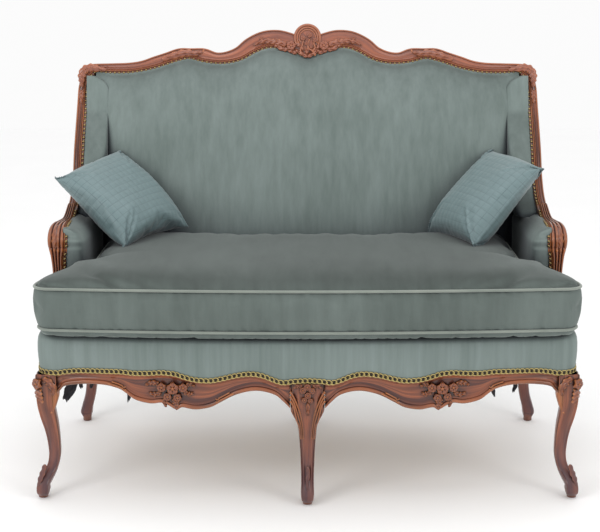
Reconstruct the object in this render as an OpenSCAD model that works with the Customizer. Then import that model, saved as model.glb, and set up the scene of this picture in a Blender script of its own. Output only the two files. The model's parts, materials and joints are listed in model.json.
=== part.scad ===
/* [Overall] */
// Spacing of the front feet, centre to centre
frame_w = 1310; // [1200:5:1450]
// Spacing from the front feet to the rear feet
frame_d = 580; // [550:5:640]
// Height of the seat rails
rail_z = 345; // [330:1:370]
// Height of the crest rail at its ends
crest_z = 998; // [960:1:1060]
// Height of the arm rails at their middle
arm_z = 650; // [635:1:680]

/* [Legs] */
// Diameter of the round peg under each foot
peg_d = 24; // [18:1:30]
// Height of the round peg under each foot
peg_h = 14; // [8:1:20]
// Width of a leg's square block at the seat rails
block_w = 50; // [46:1:56]
// Sideways swing of the cabriole curve
leg_sway = 30; // [20:1:36]
// Width of the front middle leg's block
centre_block_w = 84; // [70:1:96]
// Thickness of the back posts at the top
post_t = 30; // [26:1:34]

/* [Seat rails] */
// Thickness of the seat rails
rail_t = 34; // [30:1:38]
// Depth of the front apron at its lowest carving
apron_h = 105; // [90:1:115]
// Forward bow of the front rail at the middle
front_bow = 45; // [25:1:55]
// Height of the plain side and back rails
plain_rail_h = 60; // [50:1:70]

/* [Back and arms] */
// How far the back leans from the seat rails to the crest
back_lean = 118; // [90:1:140]
// Setback of the arm scrolls from the front feet
arm_setback = 205; // [190:1:230]
// Length of the arm rails up to the wings
arm_l = 215; // [190:1:230]
// Width of the wing rails seen from the front
wing_w = 28; // [24:1:32]
// Width of the arm scrolls seen from the front
scroll_w = 50; // [40:1:54]
// Thickness of the wing and arm rails
wing_t = 30; // [26:1:32]
// Thickness of the crest rail
crest_t = 34; // [30:1:38]
// Rise of the crest's shell above the crest's ends
shell_rise = 124; // [100:1:140]

/* [Upholstery] */
// Height of the sprung seat above the rails
deck_h = 80; // [72:1:90]
// Height of the seat cushion between its two pipings
cushion_h = 100; // [85:1:110]
// Crown of the seat cushion above its upper piping
cushion_crown = 36; // [24:1:44]
// Thickness of the back pad
back_pad_t = 44; // [36:1:48]
// Diameter of the piping cord
piping_d = 7; // [5:0.5:8]
// Length of each side of the scatter cushions
scatter_w = 288; // [260:2:300]
// Thickness of the scatter cushions
scatter_t = 108; // [90:2:114]

/* [Springs and fittings] */
// Diameter of the spring wire
wire_d = 4; // [3:0.5:5]
// Turns of each seat spring
spring_turns = 4; // [3:1:5]
// Diameter of the dowels in the frame joints
dowel_d = 10; // [8:1:12]
// Length of the dowels in the frame joints
dowel_l = 36; // [30:1:44]
// Diameter of a nail head
nail_d = 9; // [7:0.5:10]
// Spacing of the nails
nail_pitch = 12.5; // [11:0.5:16]

/* [Hidden] */

// Colours of the finishes
walnut = "#7a4028";
beech = "#b08a5c";
velvet = "#7f8f8b";
silk = "#86a3a4";
brass = "#b59a5a";
jute = "#a98d62";
steel = "#8a8a88";
black_cloth = "#26262a";

// Clearances, shared by all that fits, seats or lies beside something
fit_gap = 0.3;
soft_gap = 0.5;
overrun = 3;

// Share of the depth that lies before the middle of the whole sofa
front_share = 0.5394;

// Limb sections: sides of a ring, and how square the section is
limb_sides = 10;
square_share = 0.62;

// Main places: X to the right, Y to the back, Z up
half_w = frame_w / 2;
front_y = -frame_d * front_share;
rear_y = front_y + frame_d;
arm_y = front_y + arm_setback;
joint_y = arm_y + arm_l;
block_z = rail_z - plain_rail_h;

// Small helpers
X = [1, 0, 0];
Y = [0, 1, 0];
Z = [0, 0, 1];
function unit(v) = v / norm(v);
function mix(a, b, t) = a + (b - a) * t;
function place(s) = [s[0], s[1], s[2]];
function mean(points) = [for (p = points) 1] * points / len(points);
function flipped(row) = [for (i = [len(row) - 1 : -1 : 0]) row[i]];
function opposite(p) = [-p[0], p[1], p[2]];

// A smooth row through stations that were placed by hand
function between(p, i, t) =
    let (a = p[max(i - 1, 0)], b = p[i], c = p[i + 1], d = p[min(i + 2, len(p) - 1)])
    b + t / 2 * ((c - a) + t * ((2 * a - 5 * b + 4 * c - d) + t * (3 * b - 3 * c + d - a)));
function smooth(p, steps) = concat(
    [for (i = [0 : len(p) - 2], k = [0 : steps - 1]) between(p, i, k / steps)],
    [p[len(p) - 1]]);

// A closed skin over a row of rings that have the same number of points
module skin(rings) {
    n = len(rings[0]);
    m = len(rings);
    first = m * n;
    sides = [for (i = [0 : m - 2], j = [0 : n - 1])
        let (a = i * n + j, b = i * n + (j + 1) % n)
        each [[a, a + n, b + n], [a, b + n, b]]];
    start = [for (j = [0 : n - 1]) [first, j, (j + 1) % n]];
    end = [for (j = [0 : n - 1]) [first + 1, first - n + (j + 1) % n, first - n + j]];
    polyhedron([each [for (r = rings) each r], mean(rings[0]), mean(rings[m - 1])],
        concat(sides, start, end), convexity = 6);
}

// A rounded section of a width and a thickness, across u and through v
function section(centre, u, v, w, t) = [for (k = [0 : limb_sides - 1])
    let (a = 360 * (k + 0.5) / limb_sides, c = cos(a), s = sin(a))
    centre + w / 2 * sign(c) * pow(abs(c), square_share) * u
        + t / 2 * sign(s) * pow(abs(s), square_share) * v];

// A limb of the frame through stations of [x, y, z, width, thickness]
function limb_rings(row, across, first_dir, last_dir) = [for (i = [0 : len(row) - 1])
    let (n = len(row) - 1,
        free = unit(place(row[min(i + 1, n)]) - place(row[max(i - 1, 0)])),
        dir = i == 0 ? first_dir : i == n ? last_dir : free,
        u = unit(across - (across * dir) * dir))
    section(place(row[i]), u, cross(dir, u), row[i][3], row[i][4])];
module limb(stations, across, first_dir, last_dir, steps = 2)
    skin(limb_rings(smooth(stations, steps), across, first_dir, last_dir));

// A copy on the right-hand side
module right() mirror(X) children();

// Dowels and the holes that take them, at rows of [centre, direction]
function turn(dir) = dir == X ? [0, 90, 0] : dir == Y ? [-90, 0, 0] : [0, 0, 0];
module pins(spots, d, l) for (s = spots)
    translate(s[0]) rotate(turn(s[1])) cylinder(d = d, h = l, center = true);
module dowel_holes(spots) pins(spots, dowel_d + 2 * fit_gap, dowel_l + 2 * overrun);

// Legs: shares of the sway, the height, the block's width and its depth
// rows: inward, backward, height, width, depth
front_leg_shares = [
    [0.03, 0, 0, 0.52, 0.52], [0.07, -0.2, 0.033, 0.68, 0.8], [0.17, -0.1, 0.085, 0.62, 0.7],
    [0.73, 0.45, 0.186, 0.58, 0.58], [0.98, 0.65, 0.29, 0.62, 0.6], [0.97, 0.6, 0.415, 0.66, 0.66],
    [0.87, 0.35, 0.542, 0.74, 0.74], [0.67, 0.05, 0.67, 0.84, 0.84], [0.55, -0.15, 0.794, 0.9, 0.9],
    [0.62, -0.05, 0.918, 0.96, 0.94], [0.73, 0, 1, 0.96, 0.94]];
centre_leg_shares = [
    [0, 0, 0, 0.52, 0.52], [0, -0.2, 0.033, 0.66, 0.8], [0, -0.15, 0.085, 0.68, 0.7],
    [0, 0.3, 0.186, 0.68, 0.6], [0, 0.5, 0.29, 0.72, 0.62], [0, 0.45, 0.415, 0.78, 0.68],
    [0, 0.25, 0.542, 0.88, 0.76], [0, 0.12, 0.65, 1.04, 0.86], [0, 0.05, 0.745, 1.48, 0.9],
    [0, 0.06, 0.8, 1.66, 0.92], [0, 0.2, 0.918, 1.66, 0.94], [0, 0.3, 1, 1.66, 0.92]];
rear_leg_shares = [
    [0, 0, 0, 0.52, 0.52], [-0.05, 0.13, 0.033, 0.66, 0.7], [0.1, 0.07, 0.1, 0.62, 0.62],
    [0.5, -0.33, 0.23, 0.6, 0.6], [0.75, -0.6, 0.42, 0.66, 0.66], [0.8, -0.73, 0.64, 0.78, 0.78],
    [0.75, -0.67, 0.86, 0.9, 0.9], [0.75, -0.6, 1, 0.92, 0.92]];
post_shares = [
    [0.03, 0.18, 1.3], [0.15, 0.4, 1.12], [0.4, 0.65, 1.03], [0.75, 0.85, 1], [1, 1, 1]];
rear_inset = 20;
post_in = 36;
knee_in = 0.73 * leg_sway;
rear_knee_in = 0.75 * leg_sway;
rear_knee_y = rear_y - 0.6 * leg_sway;
centre_knee_back = 0.3 * leg_sway;

// Front rail face: a bow across the width
face_set = 12;
function face_y(x) = front_y - face_set - front_bow * (1 - pow(x / half_w, 2));
front_block_x = half_w - knee_in;
rail_end_x = front_block_x - block_w / 2;
side_face_x = half_w - knee_in + rail_t / 2;
side_start_y = front_y + block_w / 2;
rear_block_x = half_w - rear_inset - rear_knee_in;
side_end_y = rear_knee_y - block_w / 2;
centre_leg_y = front_y - front_bow + centre_knee_back;

// Cloth line and lower edge of the front rail: shares of the half width,
// of the apron and of the cloth line's deepest dip
show_drop = 36;
front_rail_shares = [
    [0.899, 0.514, 0.56], [0.852, 0.457, 0.444], [0.797, 0.438, 0.417], [0.742, 0.457, 0.417],
    [0.695, 0.533, 0.417], [0.67, 0.629, 0.444], [0.634, 0.79, 0.5], [0.579, 0.867, 0.472],
    [0.531, 0.848, 0.417], [0.484, 1, 0.5], [0.461, 0.943, 0.64], [0.414, 0.99, 0.861],
    [0.359, 0.933, 0.917], [0.315, 0.79, 0.778], [0.266, 0.629, 0.556], [0.211, 0.533, 0.417],
    [0.166, 0.533, 0.528], [0.119, 0.62, 0.861], [0.09, 0.77, 1]];
corner_drop_share = 0.64;
centre_drop_share = 0.95;
block_top = rail_z - corner_drop_share * show_drop;
centre_block_top = rail_z - show_drop - fit_gap;
tongue_h = 20;
tongue_z = rail_z + tongue_h;
rabbet = 10;
rail_round = 6;
rail_ease = 1;
show_edge = 4;

// Front rail stations: [x, y of the face, lower edge, cloth line], from a corner to the middle
front_row = concat(
    [[rail_end_x, face_y(rail_end_x), rail_z - 0.543 * apron_h, block_top]],
    [for (s = front_rail_shares)
        [s[0] * half_w, face_y(s[0] * half_w), rail_z - s[1] * apron_h, rail_z - s[2] * show_drop]],
    [[centre_block_w / 2, face_y(centre_block_w / 2), rail_z - 0.94 * apron_h,
        rail_z - centre_drop_share * show_drop]]);

// Seat, from the webbing up to the top of the sprung deck
deck_z = rail_z + deck_h;
web_t = 2;
web_w = 50;
web_z = rail_z - 0.75 * plain_rail_h;
hessian_t = 2;
hessian_z = deck_z - deck_h * 0.4;
roll_bulge = 9;
roll_round = 22;
corner_r = 40;
corner_x = rail_end_x;
corner_face_y = face_y(rail_end_x) + corner_r;
side_lip_y = arm_y - scroll_w * 0.75;

// Back: the plane of the posts leans more and more towards the crest
function post_y(z) = let (t = (z - rail_z) / (crest_z - rail_z))
    rear_knee_y + back_lean * (t + t * abs(t)) / 2;

// Crest rail: shares of the half width and of the shell's rise over the crest's ends
// rows: place, upper edge, lower edge
crest_shares = [
    [0.9, 0.105, -0.105], [0.83, 0.115, -0.129], [0.756, 0.13, -0.121], [0.7, 0.177, -0.08],
    [0.65, 0.266, -0.02], [0.597, 0.355, 0.07], [0.545, 0.444, 0.15], [0.5, 0.444, 0.185],
    [0.443, 0.444, 0.113], [0.39, 0.355, 0.078], [0.34, 0.379, 0.085], [0.288, 0.492, 0.15],
    [0.24, 0.69, 0.29], [0.185, 0.823, 0.4], [0.13, 0.85, 0.41], [0.085, 0.8, 0.36],
    [0.055, 0.87, 0.32], [0.03, 0.976, 0.27]];
crest_middle_share = [0, 1, 0.21];
function crest_station(s, side) =
    let (low = crest_z + s[2] * shell_rise, up = crest_z + s[1] * shell_rise, z = (low + up) / 2)
    [side * s[0] * half_w, post_y(z), z, crest_t, up - low];
corner_drop = 60;
corner_z = crest_z - corner_drop;
corner_y = post_y(corner_z);
wing_x = half_w - leg_sway * 0.95;
// rows: inward and upward, as shares of the drop
corner_shares = [[0, 0], [0.07, 0.37], [0.17, 0.67], [0.43, 0.94]];
function crest_corner(side) = [
    for (s = corner_shares) let (z = corner_z + s[1] * corner_drop)
        [side * (wing_x - s[0] * corner_drop), post_y(z), z, mix(wing_t, crest_t, s[1]), wing_w]];
crest_row = concat(crest_corner(-1), [for (s = crest_shares) crest_station(s, -1)],
    [crest_station(crest_middle_share, 1)],
    flipped([for (s = crest_shares) crest_station(s, 1)]), flipped(crest_corner(1)));
post_top_share = -0.15;
upright_top_share = 0.17;
post_top = crest_z + post_top_share * shell_rise;
upright_top = crest_z + upright_top_share * shell_rise;
upright_w = 40;
upright_t = 22;
post_top_x = rear_block_x - post_in;

// Wing rail: shares of the way back and up from the arm's joint to the crest's corner
wing_shares = [[0.1, 0.015], [0.27, 0.1], [0.43, 0.25], [0.55, 0.45], [0.72, 0.66], [0.9, 0.87]];
joint_drop = 2;
joint_z = arm_z - joint_drop;
wing_row = concat(
    [[-wing_x, joint_y, joint_z, wing_w, wing_t]],
    [for (s = wing_shares)
        [-wing_x, mix(joint_y, corner_y, s[0]), mix(joint_z, corner_z, s[1]), wing_w, wing_t]],
    [[-wing_x, corner_y, corner_z, wing_w, wing_t]]);

// Arm rail and its scroll
// rows: share of the arm's length, of the scroll's drop, of its extra width, of its thickness
scroll_drop = 66;
scroll_x = half_w - leg_sway * 0.83;
arm_shares = [
    [0.7, 0.36, 0.15, 0.93], [0.42, 0.35, 0.42, 0.93], [0.22, 0.31, 0.7, 0.93],
    [0.075, 0.39, 0.9, 1], [-0.01, 0.62, 1, 1.07], [0.005, 0.88, 0.9, 1.1], [0.005, 1, 0.8, 1.13]];
arm_row = concat(
    [[-wing_x, joint_y, joint_z, wing_w, wing_t]],
    [for (s = arm_shares) [-mix(wing_x, scroll_x, min(1, s[2] * 1.2)), arm_y + s[0] * arm_l,
        arm_z - s[1] * scroll_drop, mix(wing_w, scroll_w, s[2]), s[3] * wing_t]]);
scroll_foot = arm_row[len(arm_row) - 1];

// Arm support: shares of its height, of its backward swing, of its width and its thickness
support_set = 22;
support_x = half_w - leg_sway * 0.63;
support_shares = [
    [0.92, 0.25, 0.76, 0.62], [0.755, 0.9, 0.68, 0.6], [0.59, 1, 0.64, 0.62],
    [0.405, 0.55, 0.64, 0.66], [0.2, -0.15, 0.66, 0.76], [0, -0.65, 0.66, 0.92]];
support_row = concat(
    [[scroll_foot[0], scroll_foot[1], scroll_foot[2], scroll_foot[3], scroll_foot[4]]],
    [for (s = support_shares) [-mix(scroll_x, support_x, min(1, 1.8 * (1 - s[0]))),
        arm_y + s[1] * support_set, mix(rail_z, scroll_foot[2], s[0]), s[2] * block_w, s[3] * block_w]]);
support_foot = support_row[len(support_row) - 1];

// Dowels of the frame's joints on the left, each with its direction
front_dowel_drop = 45;
front_dowel_z = rail_z - front_dowel_drop;
tongue_dowel_y = (rail_t + rabbet) / 2;
plain_dowel_zs = [block_z + plain_rail_h * 0.25, block_z + plain_rail_h * 0.75];
front_corner_dowels = [for (z = [front_dowel_z, rail_z])
    [[-rail_end_x, face_y(rail_end_x) + tongue_dowel_y, z], X]];
front_centre_dowels = [for (z = [front_dowel_z, rail_z])
    [[-centre_block_w / 2, face_y(centre_block_w / 2) + tongue_dowel_y, z], X]];
side_front_dowels = [for (z = plain_dowel_zs) [[-(side_face_x - rail_t / 2), side_start_y, z], Y]];
side_rear_dowels = [for (z = plain_dowel_zs) [[-rear_block_x, side_end_y, z], Y]];
back_corner_dowels = [for (z = plain_dowel_zs) [[block_w / 2 - rear_block_x, rear_knee_y, z], X]];
back_centre_dowels = [for (z = plain_dowel_zs) [[-block_w / 2, rear_knee_y, z], X]];
support_dowels = [[[support_foot[0], support_foot[1], rail_z], Z]];
scroll_dowels = [[place(scroll_foot), Z]];
wing_dowels = [[[-wing_x, joint_y, joint_z], Y]];
corner_dowels = [[[-wing_x, corner_y, corner_z + dowel_l / 6], Z]];
post_dowels = [[[-post_top_x, post_y(post_top), post_top], Z]];
upright_dowels = [[[0, post_y(upright_top), upright_top], Z]];
stay_up = 45;
stay_z = deck_z + stay_up;
stay_h = 40;
stay_t = 24;
stay_end_x = rear_block_x - block_w * 0.44;
stay_dowels = [
    [[-stay_end_x, post_y(stay_z), stay_z], X],
    [[-upright_w / 2, post_y(stay_z), stay_z], X]];
cross_y = [centre_leg_y + block_w / 2, rear_knee_y - block_w / 2];
cross_h = 40;
cross_z = rail_z - cross_h;
cross_dowels = [for (y = cross_y) [[0, y, cross_z + cross_h / 2], Y]];
left_dowels = concat(front_corner_dowels, front_centre_dowels, side_front_dowels, side_rear_dowels,
    back_corner_dowels, back_centre_dowels, support_dowels, scroll_dowels, wing_dowels,
    corner_dowels, post_dowels, stay_dowels);
centre_dowels = concat(upright_dowels, cross_dowels);

module frame_dowels() color(beech) {
    pins(left_dowels, dowel_d, dowel_l);
    right() pins(left_dowels, dowel_d, dowel_l);
    pins(centre_dowels, dowel_d, dowel_l);
}

// Crest rail with its corners turned down to the wing rails
post_seat_w = post_t * 1.1;
crest_lean = (post_y(crest_z + overrun) - post_y(crest_z - overrun)) / (2 * overrun);
module crest_rail() color(walnut) difference() {
    union() {
        limb(crest_row, unit(Y - crest_lean * Z), Z, -Z);
        for (side = [-1, 1])
            translate([side * post_top_x - post_seat_w / 2, post_y(post_top) - post_t / 2, post_top])
                cube([post_seat_w, post_t, crest_z - post_top]);
        translate([-upright_w / 2, post_y(upright_top) - upright_t / 2, upright_top])
            cube([upright_w, upright_t, shell_rise / 2]);
    }
    dowel_holes(concat(corner_dowels, post_dowels));
    right() dowel_holes(concat(corner_dowels, post_dowels));
    dowel_holes(upright_dowels);
}

// Wing rail, arm rail with its scroll, and arm support of the left side
module wing_rail() color(walnut) difference() {
    limb(wing_row, X, Y, Z);
    dowel_holes(concat(wing_dowels, corner_dowels));
}
module arm_rail() color(walnut) difference() {
    limb(arm_row, X, -Y, -Z);
    dowel_holes(concat(wing_dowels, scroll_dowels));
}
module arm_support() color(walnut) difference() {
    limb(support_row, X, -Z, -Z);
    dowel_holes(concat(scroll_dowels, support_dowels));
}
module wing_rail_left() wing_rail();
module wing_rail_right() right() wing_rail();
module arm_rail_left() arm_rail();
module arm_rail_right() right() arm_rail();
module arm_support_left() arm_support();
module arm_support_right() right() arm_support();

// Legs: stations from a table of shares over the foot's place
function leg_row(shares, foot_x, foot_y, top) = [for (s = shares)
    [foot_x + s[0] * leg_sway, foot_y + s[1] * leg_sway, mix(peg_h, top, s[2]),
        s[3] * block_w, s[4] * block_w]];
module peg(x, y) translate([x, y, 0]) cylinder(d = peg_d, h = peg_h + overrun);
module block(x, y, w, low, top)
    translate([x - w / 2, y - block_w / 2, low]) cube([w, block_w, top - low]);

// The rear leg is one piece with the back post above it
post_row = [for (s = post_shares)
    let (z = mix(rail_z, post_top, s[1]))
    [s[0] * post_in - rear_block_x, post_y(z), z, s[2] * post_t, s[2] * post_t]];
module rear_leg() color(walnut) difference() {
    union() {
        limb(concat(leg_row(rear_leg_shares, rear_inset - half_w, rear_y, rail_z), post_row), X, Z, Z);
        peg(rear_inset - half_w, rear_y);
        block(-rear_block_x, rear_knee_y, block_w, block_z, rail_z);
    }
    dowel_holes(concat(side_rear_dowels, back_corner_dowels, post_dowels, [stay_dowels[0]]));
    screw_holes();
}
module rear_leg_left() rear_leg();
module rear_leg_right() right() rear_leg();

// The middle rear leg stands straight below the back's upright
upright_row = [for (t = [0.12, 0.4, 0.7, 1])
    let (z = mix(rail_z, upright_top, t)) [0, post_y(z), z, upright_w, upright_t]];
rear_centre_shares = [for (s = rear_leg_shares) [0, s[1], s[2], s[3], s[4]]];
module rear_leg_centre() color(walnut) difference() {
    union() {
        limb(concat(leg_row(rear_centre_shares, 0, rear_y, rail_z), upright_row), X, Z, Z);
        peg(0, rear_y);
        block(0, rear_knee_y, block_w, block_z, rail_z);
    }
    dowel_holes(concat(back_centre_dowels, [stay_dowels[1]]));
    right() dowel_holes(concat(back_centre_dowels, [stay_dowels[1]]));
    dowel_holes(centre_dowels);
}

// Front legs: a square block takes the rails, and a round tongue rises behind the cloth
module front_leg() color(walnut) difference() {
    union() {
        limb(leg_row(front_leg_shares, -half_w, front_y, block_top), X, Z, Z);
        peg(-half_w, front_y);
        block(-front_block_x, front_y, block_w, block_z, block_top);
        intersection() {
            block(-front_block_x, front_y, block_w, block_top - overrun, tongue_z);
            translate([-corner_x, corner_face_y, block_z])
                cylinder(r = corner_r - rabbet - fit_gap, h = tongue_z - block_z);
        }
    }
    dowel_holes(concat(front_corner_dowels, side_front_dowels));
    screw_holes();
}
module front_leg_left() front_leg();
module front_leg_right() right() front_leg();
module front_leg_centre() color(walnut) difference() {
    union() {
        limb(leg_row(centre_leg_shares, 0, front_y - front_bow, centre_block_top), X, Z, Z);
        peg(0, front_y - front_bow);
        block(0, centre_leg_y, centre_block_w, block_z, centre_block_top);
        translate([-centre_block_w / 2, face_y(0) + rabbet, centre_block_top - overrun])
            cube([centre_block_w, rail_t - rabbet, tongue_z - centre_block_top + overrun]);
    }
    dowel_holes(front_centre_dowels);
    right() dowel_holes(front_centre_dowels);
    dowel_holes([cross_dowels[0]]);
}

// Front rail: a bowed and scalloped apron with a tongue behind the cloth
function front_rail_ring(s) = [for (p = [
    [rail_round, s[2]], [rail_t, s[2]], [rail_t, tongue_z], [rabbet, tongue_z], [rabbet, s[3]],
    [rail_ease, s[3]], [0, s[3] - show_edge], [show_edge, mix(s[2], s[3], 0.5)], [0, s[2] + rail_round]])
    [-s[0], s[1] + p[0], p[1]]];
module front_rail() color(walnut) difference() {
    skin([for (s = front_row) front_rail_ring(s)]);
    dowel_holes(concat(front_corner_dowels, front_centre_dowels));
}
module front_rail_left() front_rail();
module front_rail_right() right() front_rail();

// Side rail: shares of the way forward and of the scallop's rise
side_rail_shares = [[0, 0], [0.12, -0.25], [0.3, 0.3], [0.5, 0.6], [0.7, 0.3], [0.88, -0.25], [1, 0]];
side_scallop = 16;
function side_rail_ring(s) =
    let (y = mix(side_end_y, side_start_y, s[0]), x = mix(rear_block_x + rail_t / 2, side_face_x, s[0]),
        low = block_z + s[1] * side_scallop)
    [for (p = [[rail_round, low], [rail_t, low], [rail_t, rail_z], [rail_ease, rail_z],
        [0, rail_z - show_edge], [show_edge / 2, mix(low, rail_z, 0.5)], [0, low + rail_round]])
        [-x + p[0], y, p[1]]];
module side_rail() color(walnut) difference() {
    skin([for (s = side_rail_shares) side_rail_ring(s)]);
    dowel_holes(concat(side_front_dowels, side_rear_dowels, support_dowels));
}
module side_rail_left() side_rail();
module side_rail_right() right() side_rail();

// Plain rails at the back, the stay rails over the seat, and the rail across the middle
module back_rail() color(beech) difference() {
    translate([block_w / 2 - rear_block_x, rear_knee_y - rail_t / 2, block_z])
        cube([rear_block_x - block_w, rail_t, plain_rail_h]);
    dowel_holes(concat(back_corner_dowels, back_centre_dowels));
}
module back_rail_left() back_rail();
module back_rail_right() right() back_rail();
module stay_rail() color(beech) difference() {
    translate([-stay_end_x, post_y(stay_z) - stay_t / 2, stay_z - stay_h / 2])
        cube([stay_end_x - upright_w / 2, stay_t, stay_h]);
    dowel_holes(stay_dowels);
}
module stay_rail_left() stay_rail();
module stay_rail_right() right() stay_rail();
module cross_rail() color(beech) difference() {
    translate([-rail_t / 2, cross_y[0], cross_z]) cube([rail_t, cross_y[1] - cross_y[0], cross_h]);
    dowel_holes(cross_dowels);
}

// Blocks glued and screwed into the seat's four corners
corner_block_l = 60;
corner_block_h = 30;
screw_d = 5;
screw_l = 52;
screw_head_d = 10;
screw_head_h = 3;
function inner_side(y) = mix(rear_block_x - rail_t / 2, side_face_x - rail_t,
    (y - side_end_y) / (side_start_y - side_end_y));
front_block_points = [
    [fit_gap - inner_side(side_start_y), side_start_y + fit_gap],
    [fit_gap - rail_end_x, side_start_y + fit_gap],
    [fit_gap - rail_end_x, face_y(rail_end_x) + rail_t + fit_gap],
    [corner_block_l - rail_end_x, face_y(rail_end_x) + rail_t + fit_gap],
    [fit_gap - inner_side(side_start_y + corner_block_l), side_start_y + corner_block_l]];
rear_end_x = rear_block_x - block_w / 2;
rear_block_points = [
    [fit_gap - inner_side(side_end_y), side_end_y - fit_gap],
    [fit_gap - rear_end_x, side_end_y - fit_gap],
    [fit_gap - rear_end_x, rear_knee_y - rail_t / 2 - fit_gap],
    [corner_block_l - rear_end_x, rear_knee_y - rail_t / 2 - fit_gap],
    [fit_gap - inner_side(side_end_y - corner_block_l), side_end_y - corner_block_l]];
module along_screw(points) {
    head = (points[3] + points[4]) / 2;
    way = points[1] - head;
    translate([head[0], head[1], cross_z + corner_block_h / 2])
        rotate([0, 90, atan2(way[1], way[0])]) children();
}
module screw_holes() for (points = [front_block_points, rear_block_points])
    along_screw(points) cylinder(d = screw_d + 2 * fit_gap, h = screw_l + overrun);
module left_blocks() difference() {
    for (points = [front_block_points, rear_block_points])
        translate([0, 0, cross_z]) linear_extrude(corner_block_h) polygon(points);
    screw_holes();
}
module left_screws() for (points = [front_block_points, rear_block_points]) along_screw(points) {
    cylinder(d = screw_d, h = screw_l);
    translate([0, 0, -screw_head_h]) cylinder(d = screw_head_d, h = screw_head_h);
}
module corner_blocks() color(beech) {
    left_blocks();
    right() left_blocks();
}
module block_screws() color(steel) {
    left_screws();
    right() left_screws();
}

// Jute webbing under the springs: straps from front to back, and others across them
web_rows = 3;
web_columns = 4;
web_clear = 2 * fit_gap;
bay_inner_x = rail_t / 2 + web_clear;
bay_outer_x = inner_side(side_end_y) - web_clear;
function column_x(k) = mix(bay_inner_x, rear_end_x - corner_block_l, (k + 0.6) / web_columns);
bay_front_y = face_y(0) + rail_t;
function row_y(k) = mix(centre_leg_y + block_w, rear_knee_y - corner_block_l, (k + 0.5) / web_rows);
module bay_webbing() {
    for (k = [0 : web_columns - 1]) {
        front = face_y(column_x(k) + web_w / 2) + rail_t + web_clear;
        translate([column_x(k) - web_w / 2, front, web_z])
            cube([web_w, rear_knee_y - rail_t / 2 - web_clear - front, web_t]);
    }
    for (k = [0 : web_rows - 1])
        translate([bay_inner_x, row_y(k) - web_w / 2, web_z + web_t])
            cube([inner_side(row_y(k) + web_w / 2) - web_clear - bay_inner_x, web_w, web_t]);
}
module seat_webbing() color(jute) {
    bay_webbing();
    right() bay_webbing();
}

// Hourglass seat springs, each one unbroken wire
spring_columns = 3;
spring_rows = 2;
spring_r = 36;
spring_waist_share = 0.66;
spring_foot_z = web_z + 2 * web_t + wire_d / 2 + fit_gap;
spring_head_z = hessian_z - wire_d / 2 - fit_gap;
spring_steps = 8;
wire_sides = 6;
spring_tail = wire_d;
function spring_point(i) =
    let (n = spring_turns * spring_steps, t = i / n, a = 360 * i / spring_steps,
        r = spring_r * mix(1, spring_waist_share, sin(180 * t)))
    [r * cos(a), r * sin(a), mix(spring_foot_z, spring_head_z, t)];
spring_points = [for (i = [0 : spring_turns * spring_steps]) spring_point(i)];
function wire_ring(row, i, d) =
    let (n = len(row) - 1, dir = unit(row[min(i + 1, n)] - row[max(i - 1, 0)]),
        u = unit(cross(Z, dir)), v = cross(dir, u))
    [for (k = [0 : wire_sides - 1]) row[i] + d / 2 * (cos(360 * k / wire_sides) * u
        + sin(360 * k / wire_sides) * v)];
spring_x = [for (k = [0 : spring_columns - 1])
    mix(bay_inner_x, bay_outer_x - spring_r, (k + 0.6) / spring_columns)];
spring_y = [for (k = [0 : spring_rows - 1])
    mix(row_y(0), row_y(web_rows - 1), (k + 0.25) / (spring_rows - 0.5))];
spring_least_gap = min([for (i = [0 : len(spring_points) - 1], j = [0 : len(spring_points) - 1])
    if (j > i + spring_steps / 2) norm(spring_points[j] - spring_points[i]) - wire_d]);
echo("least gap between turns of a seat spring", spring_least_gap);
module seat_springs() color(steel)
    for (side = [-1, 1], x = spring_x, y = spring_y) translate([side * x, y, 0])
        skin([for (i = [0 : len(spring_points) - 1]) wire_ring(spring_points, i, wire_d)]);

// Plan of the deck inside the edge roll, as points from the rear left round to the rear right
deck_steps = 8;
deck_half = corner_x + corner_r - rail_t - soft_gap;
deck_corner = corner_r / 4;
deck_rear = side_end_y - soft_gap;
function deck_plan(inset, z) =
    let (half = deck_half - inset, front = [for (k = [0 : deck_steps])
        let (x = (half - deck_corner) * (2 * k / deck_steps - 1))
        [x, face_y(x) + rail_t + soft_gap + inset, z]],
        side = [for (y = [side_start_y + deck_corner, mix(side_start_y, side_end_y, 0.35)]) [half, y, z]])
    concat(front, side, [[half - rail_t, deck_rear - inset, z], [rail_t - half, deck_rear - inset, z]],
        [for (p = flipped(side)) opposite(p)]);
module spring_hessian() color(jute)
    skin([deck_plan(0, hessian_z), deck_plan(0, hessian_z + hessian_t)]);
deck_soft = 10;
module seat_deck() color(velvet)
    skin([deck_plan(0, hessian_z + hessian_t + fit_gap), deck_plan(0, deck_z - deck_soft),
        deck_plan(deck_soft / 2, deck_z - deck_soft / 4), deck_plan(2 * deck_soft, deck_z)]);

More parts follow.
